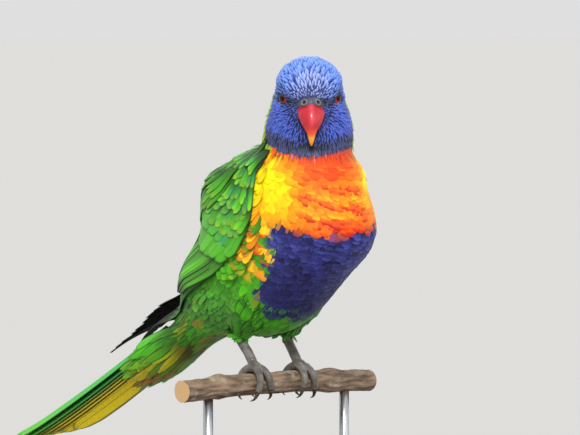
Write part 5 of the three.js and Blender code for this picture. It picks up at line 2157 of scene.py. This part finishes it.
def steel_material():
    material, tree, shader = new_material("Stand steel", 0.3, Metallic=1.0)
    drawn = mapped_place(tree, object_place(tree), Scale=(1.0, 1.0, 0.05))
    made = uneven(tree, rgba("c9ccd0"), rgba("9da1a6"), drawn, 900.0, 0.6)
    roughness = times_plus(tree, made["Mask"], 0.12, 0.24)
    dress(tree, shader, made["Color"], made["Height"], 0.00003, 0.3, roughness)
    return material


base = turned("stand_disc", base_outline(), 160, np.zeros(3))
finished(base, "stand_wood", "stand_base", material=wood_material())
STEEL = steel_material()
for side_sign, name in SIDES:
    heights = (BASE_HEIGHT - ROD_IN_BASE, BASE_HEIGHT + 1, PERCH_HEIGHT - ROD_BELOW_MIDDLE)
    outline = [(ROD_RADIUS, height) for height in heights]
    rod = turned(f"stand_pin_{name}", outline, 48, [side_sign * ROD_SPREAD, BIRD_AT[1], 0])
    finished(rod, "stand_steel", f"stand_rod_{name}", material=STEEL)

# %% [markdown]
# ## Floor, light and camera
# Wide suns light the bird softly from the upper left, as on a bright day, and do not fade with
# distance, so the floor is even. The floor's grey is worked out from the lights so that it meets the
# background without a line. The camera stands two and a half metres off with a long lens, so that
# the picture has the flat perspective of a telephoto.


# %% Light
WORLD_LIGHT = 0.74
SUNS = [
    ("key", (-0.55, -0.62, 0.72), 2.9, 12, (1.0, 0.975, 0.93)),
    ("fill", (0.35, -0.85, 0.25), 0.6, 60, (0.94, 0.97, 1.0)),
    ("rim", (0.6, 0.75, 0.65), 0.7, 30, (1.0, 1.0, 1.0)),
]


def sun(name, come_from, strength, softness, colour):
    data = bpy.data.lights.new(name, "SUN")
    data.energy = strength
    data.angle = math.radians(softness)
    data.color = colour
    piece = bpy.data.objects.new(name, data)
    piece.rotation_euler = (-Vector(come_from)).to_track_quat("-Z", "Y").to_euler()
    bpy.context.scene.collection.objects.link(piece)
    return strength * Vector(come_from).normalized().z / math.pi


floor_light = WORLD_LIGHT + sum(sun(*lamp) for lamp in SUNS)
print("light on the floor:", round(floor_light, 2))
world = bpy.data.worlds.new("Studio")
world.use_nodes = True
backdrop = world.node_tree.nodes["Background"]
backdrop.inputs["Color"].default_value = (1, 1, 1, 1)
backdrop.inputs["Strength"].default_value = WORLD_LIGHT
bpy.context.scene.world = world
bpy.context.scene.view_settings.view_transform = "Standard"


# %% Floor
def make_floor():
    size = 40.0
    points = [(-size, -size, 0), (size, -size, 0), (size, size, 0), (-size, size, 0)]
    floor = new_object("floor", mesh_from("floor", points, [(0, 1, 2, 3)]))
    material, tree, shader = new_material("Pale floor", 1.0, Specular_IOR_Level=0.0)
    soft = noise_node(tree, object_place(tree), 3.0)
    grey = WORLD_LIGHT / floor_light
    darker = (grey * 0.99, grey * 0.99, grey * 0.985, 1)
    lighter = (grey * 1.01, grey * 1.01, grey, 1)
    colour = mix_node(tree, soft, darker, lighter)
    tree.links.new(colour, shader.inputs["Base Color"])
    floor.data.materials.append(material)


make_floor()

# %% Camera
PICTURE_WIDTH = 580
PICTURE_HEIGHT = 435
PIXELS_PER_MM = 2.3
CAMERA_AZIMUTH = math.radians(-42)
CAMERA_HEIGHT = math.radians(2)
CAMERA_DISTANCE = 2500
HEAD_SHOWS_AT = (309, 100)
SENSOR_WIDTH = 36


def make_camera():
    back = np.array([
        math.sin(CAMERA_AZIMUTH) * math.cos(CAMERA_HEIGHT),
        -math.cos(CAMERA_AZIMUTH) * math.cos(CAMERA_HEIGHT),
        math.sin(CAMERA_HEIGHT),
    ])
    right = np.array([math.cos(CAMERA_AZIMUTH), math.sin(CAMERA_AZIMUTH), 0])
    up = np.cross(back, right)
    target = BIRD_AT + HEAD_AT
    target = target - right * (HEAD_SHOWS_AT[0] - PICTURE_WIDTH / 2) / PIXELS_PER_MM
    target = target + up * (HEAD_SHOWS_AT[1] - PICTURE_HEIGHT / 2) / PIXELS_PER_MM
    data = bpy.data.cameras.new("camera")
    data.sensor_width = SENSOR_WIDTH
    data.lens = PIXELS_PER_MM * CAMERA_DISTANCE / PICTURE_WIDTH * SENSOR_WIDTH
    data.clip_end = 100
    camera = bpy.data.objects.new("camera", data)
    camera.location = (target + back * CAMERA_DISTANCE) * MM
    camera.rotation_euler = Vector(-back).to_track_quat("-Z", "Y").to_euler()
    bpy.context.scene.collection.objects.link(camera)
    bpy.context.scene.camera = camera


make_camera()
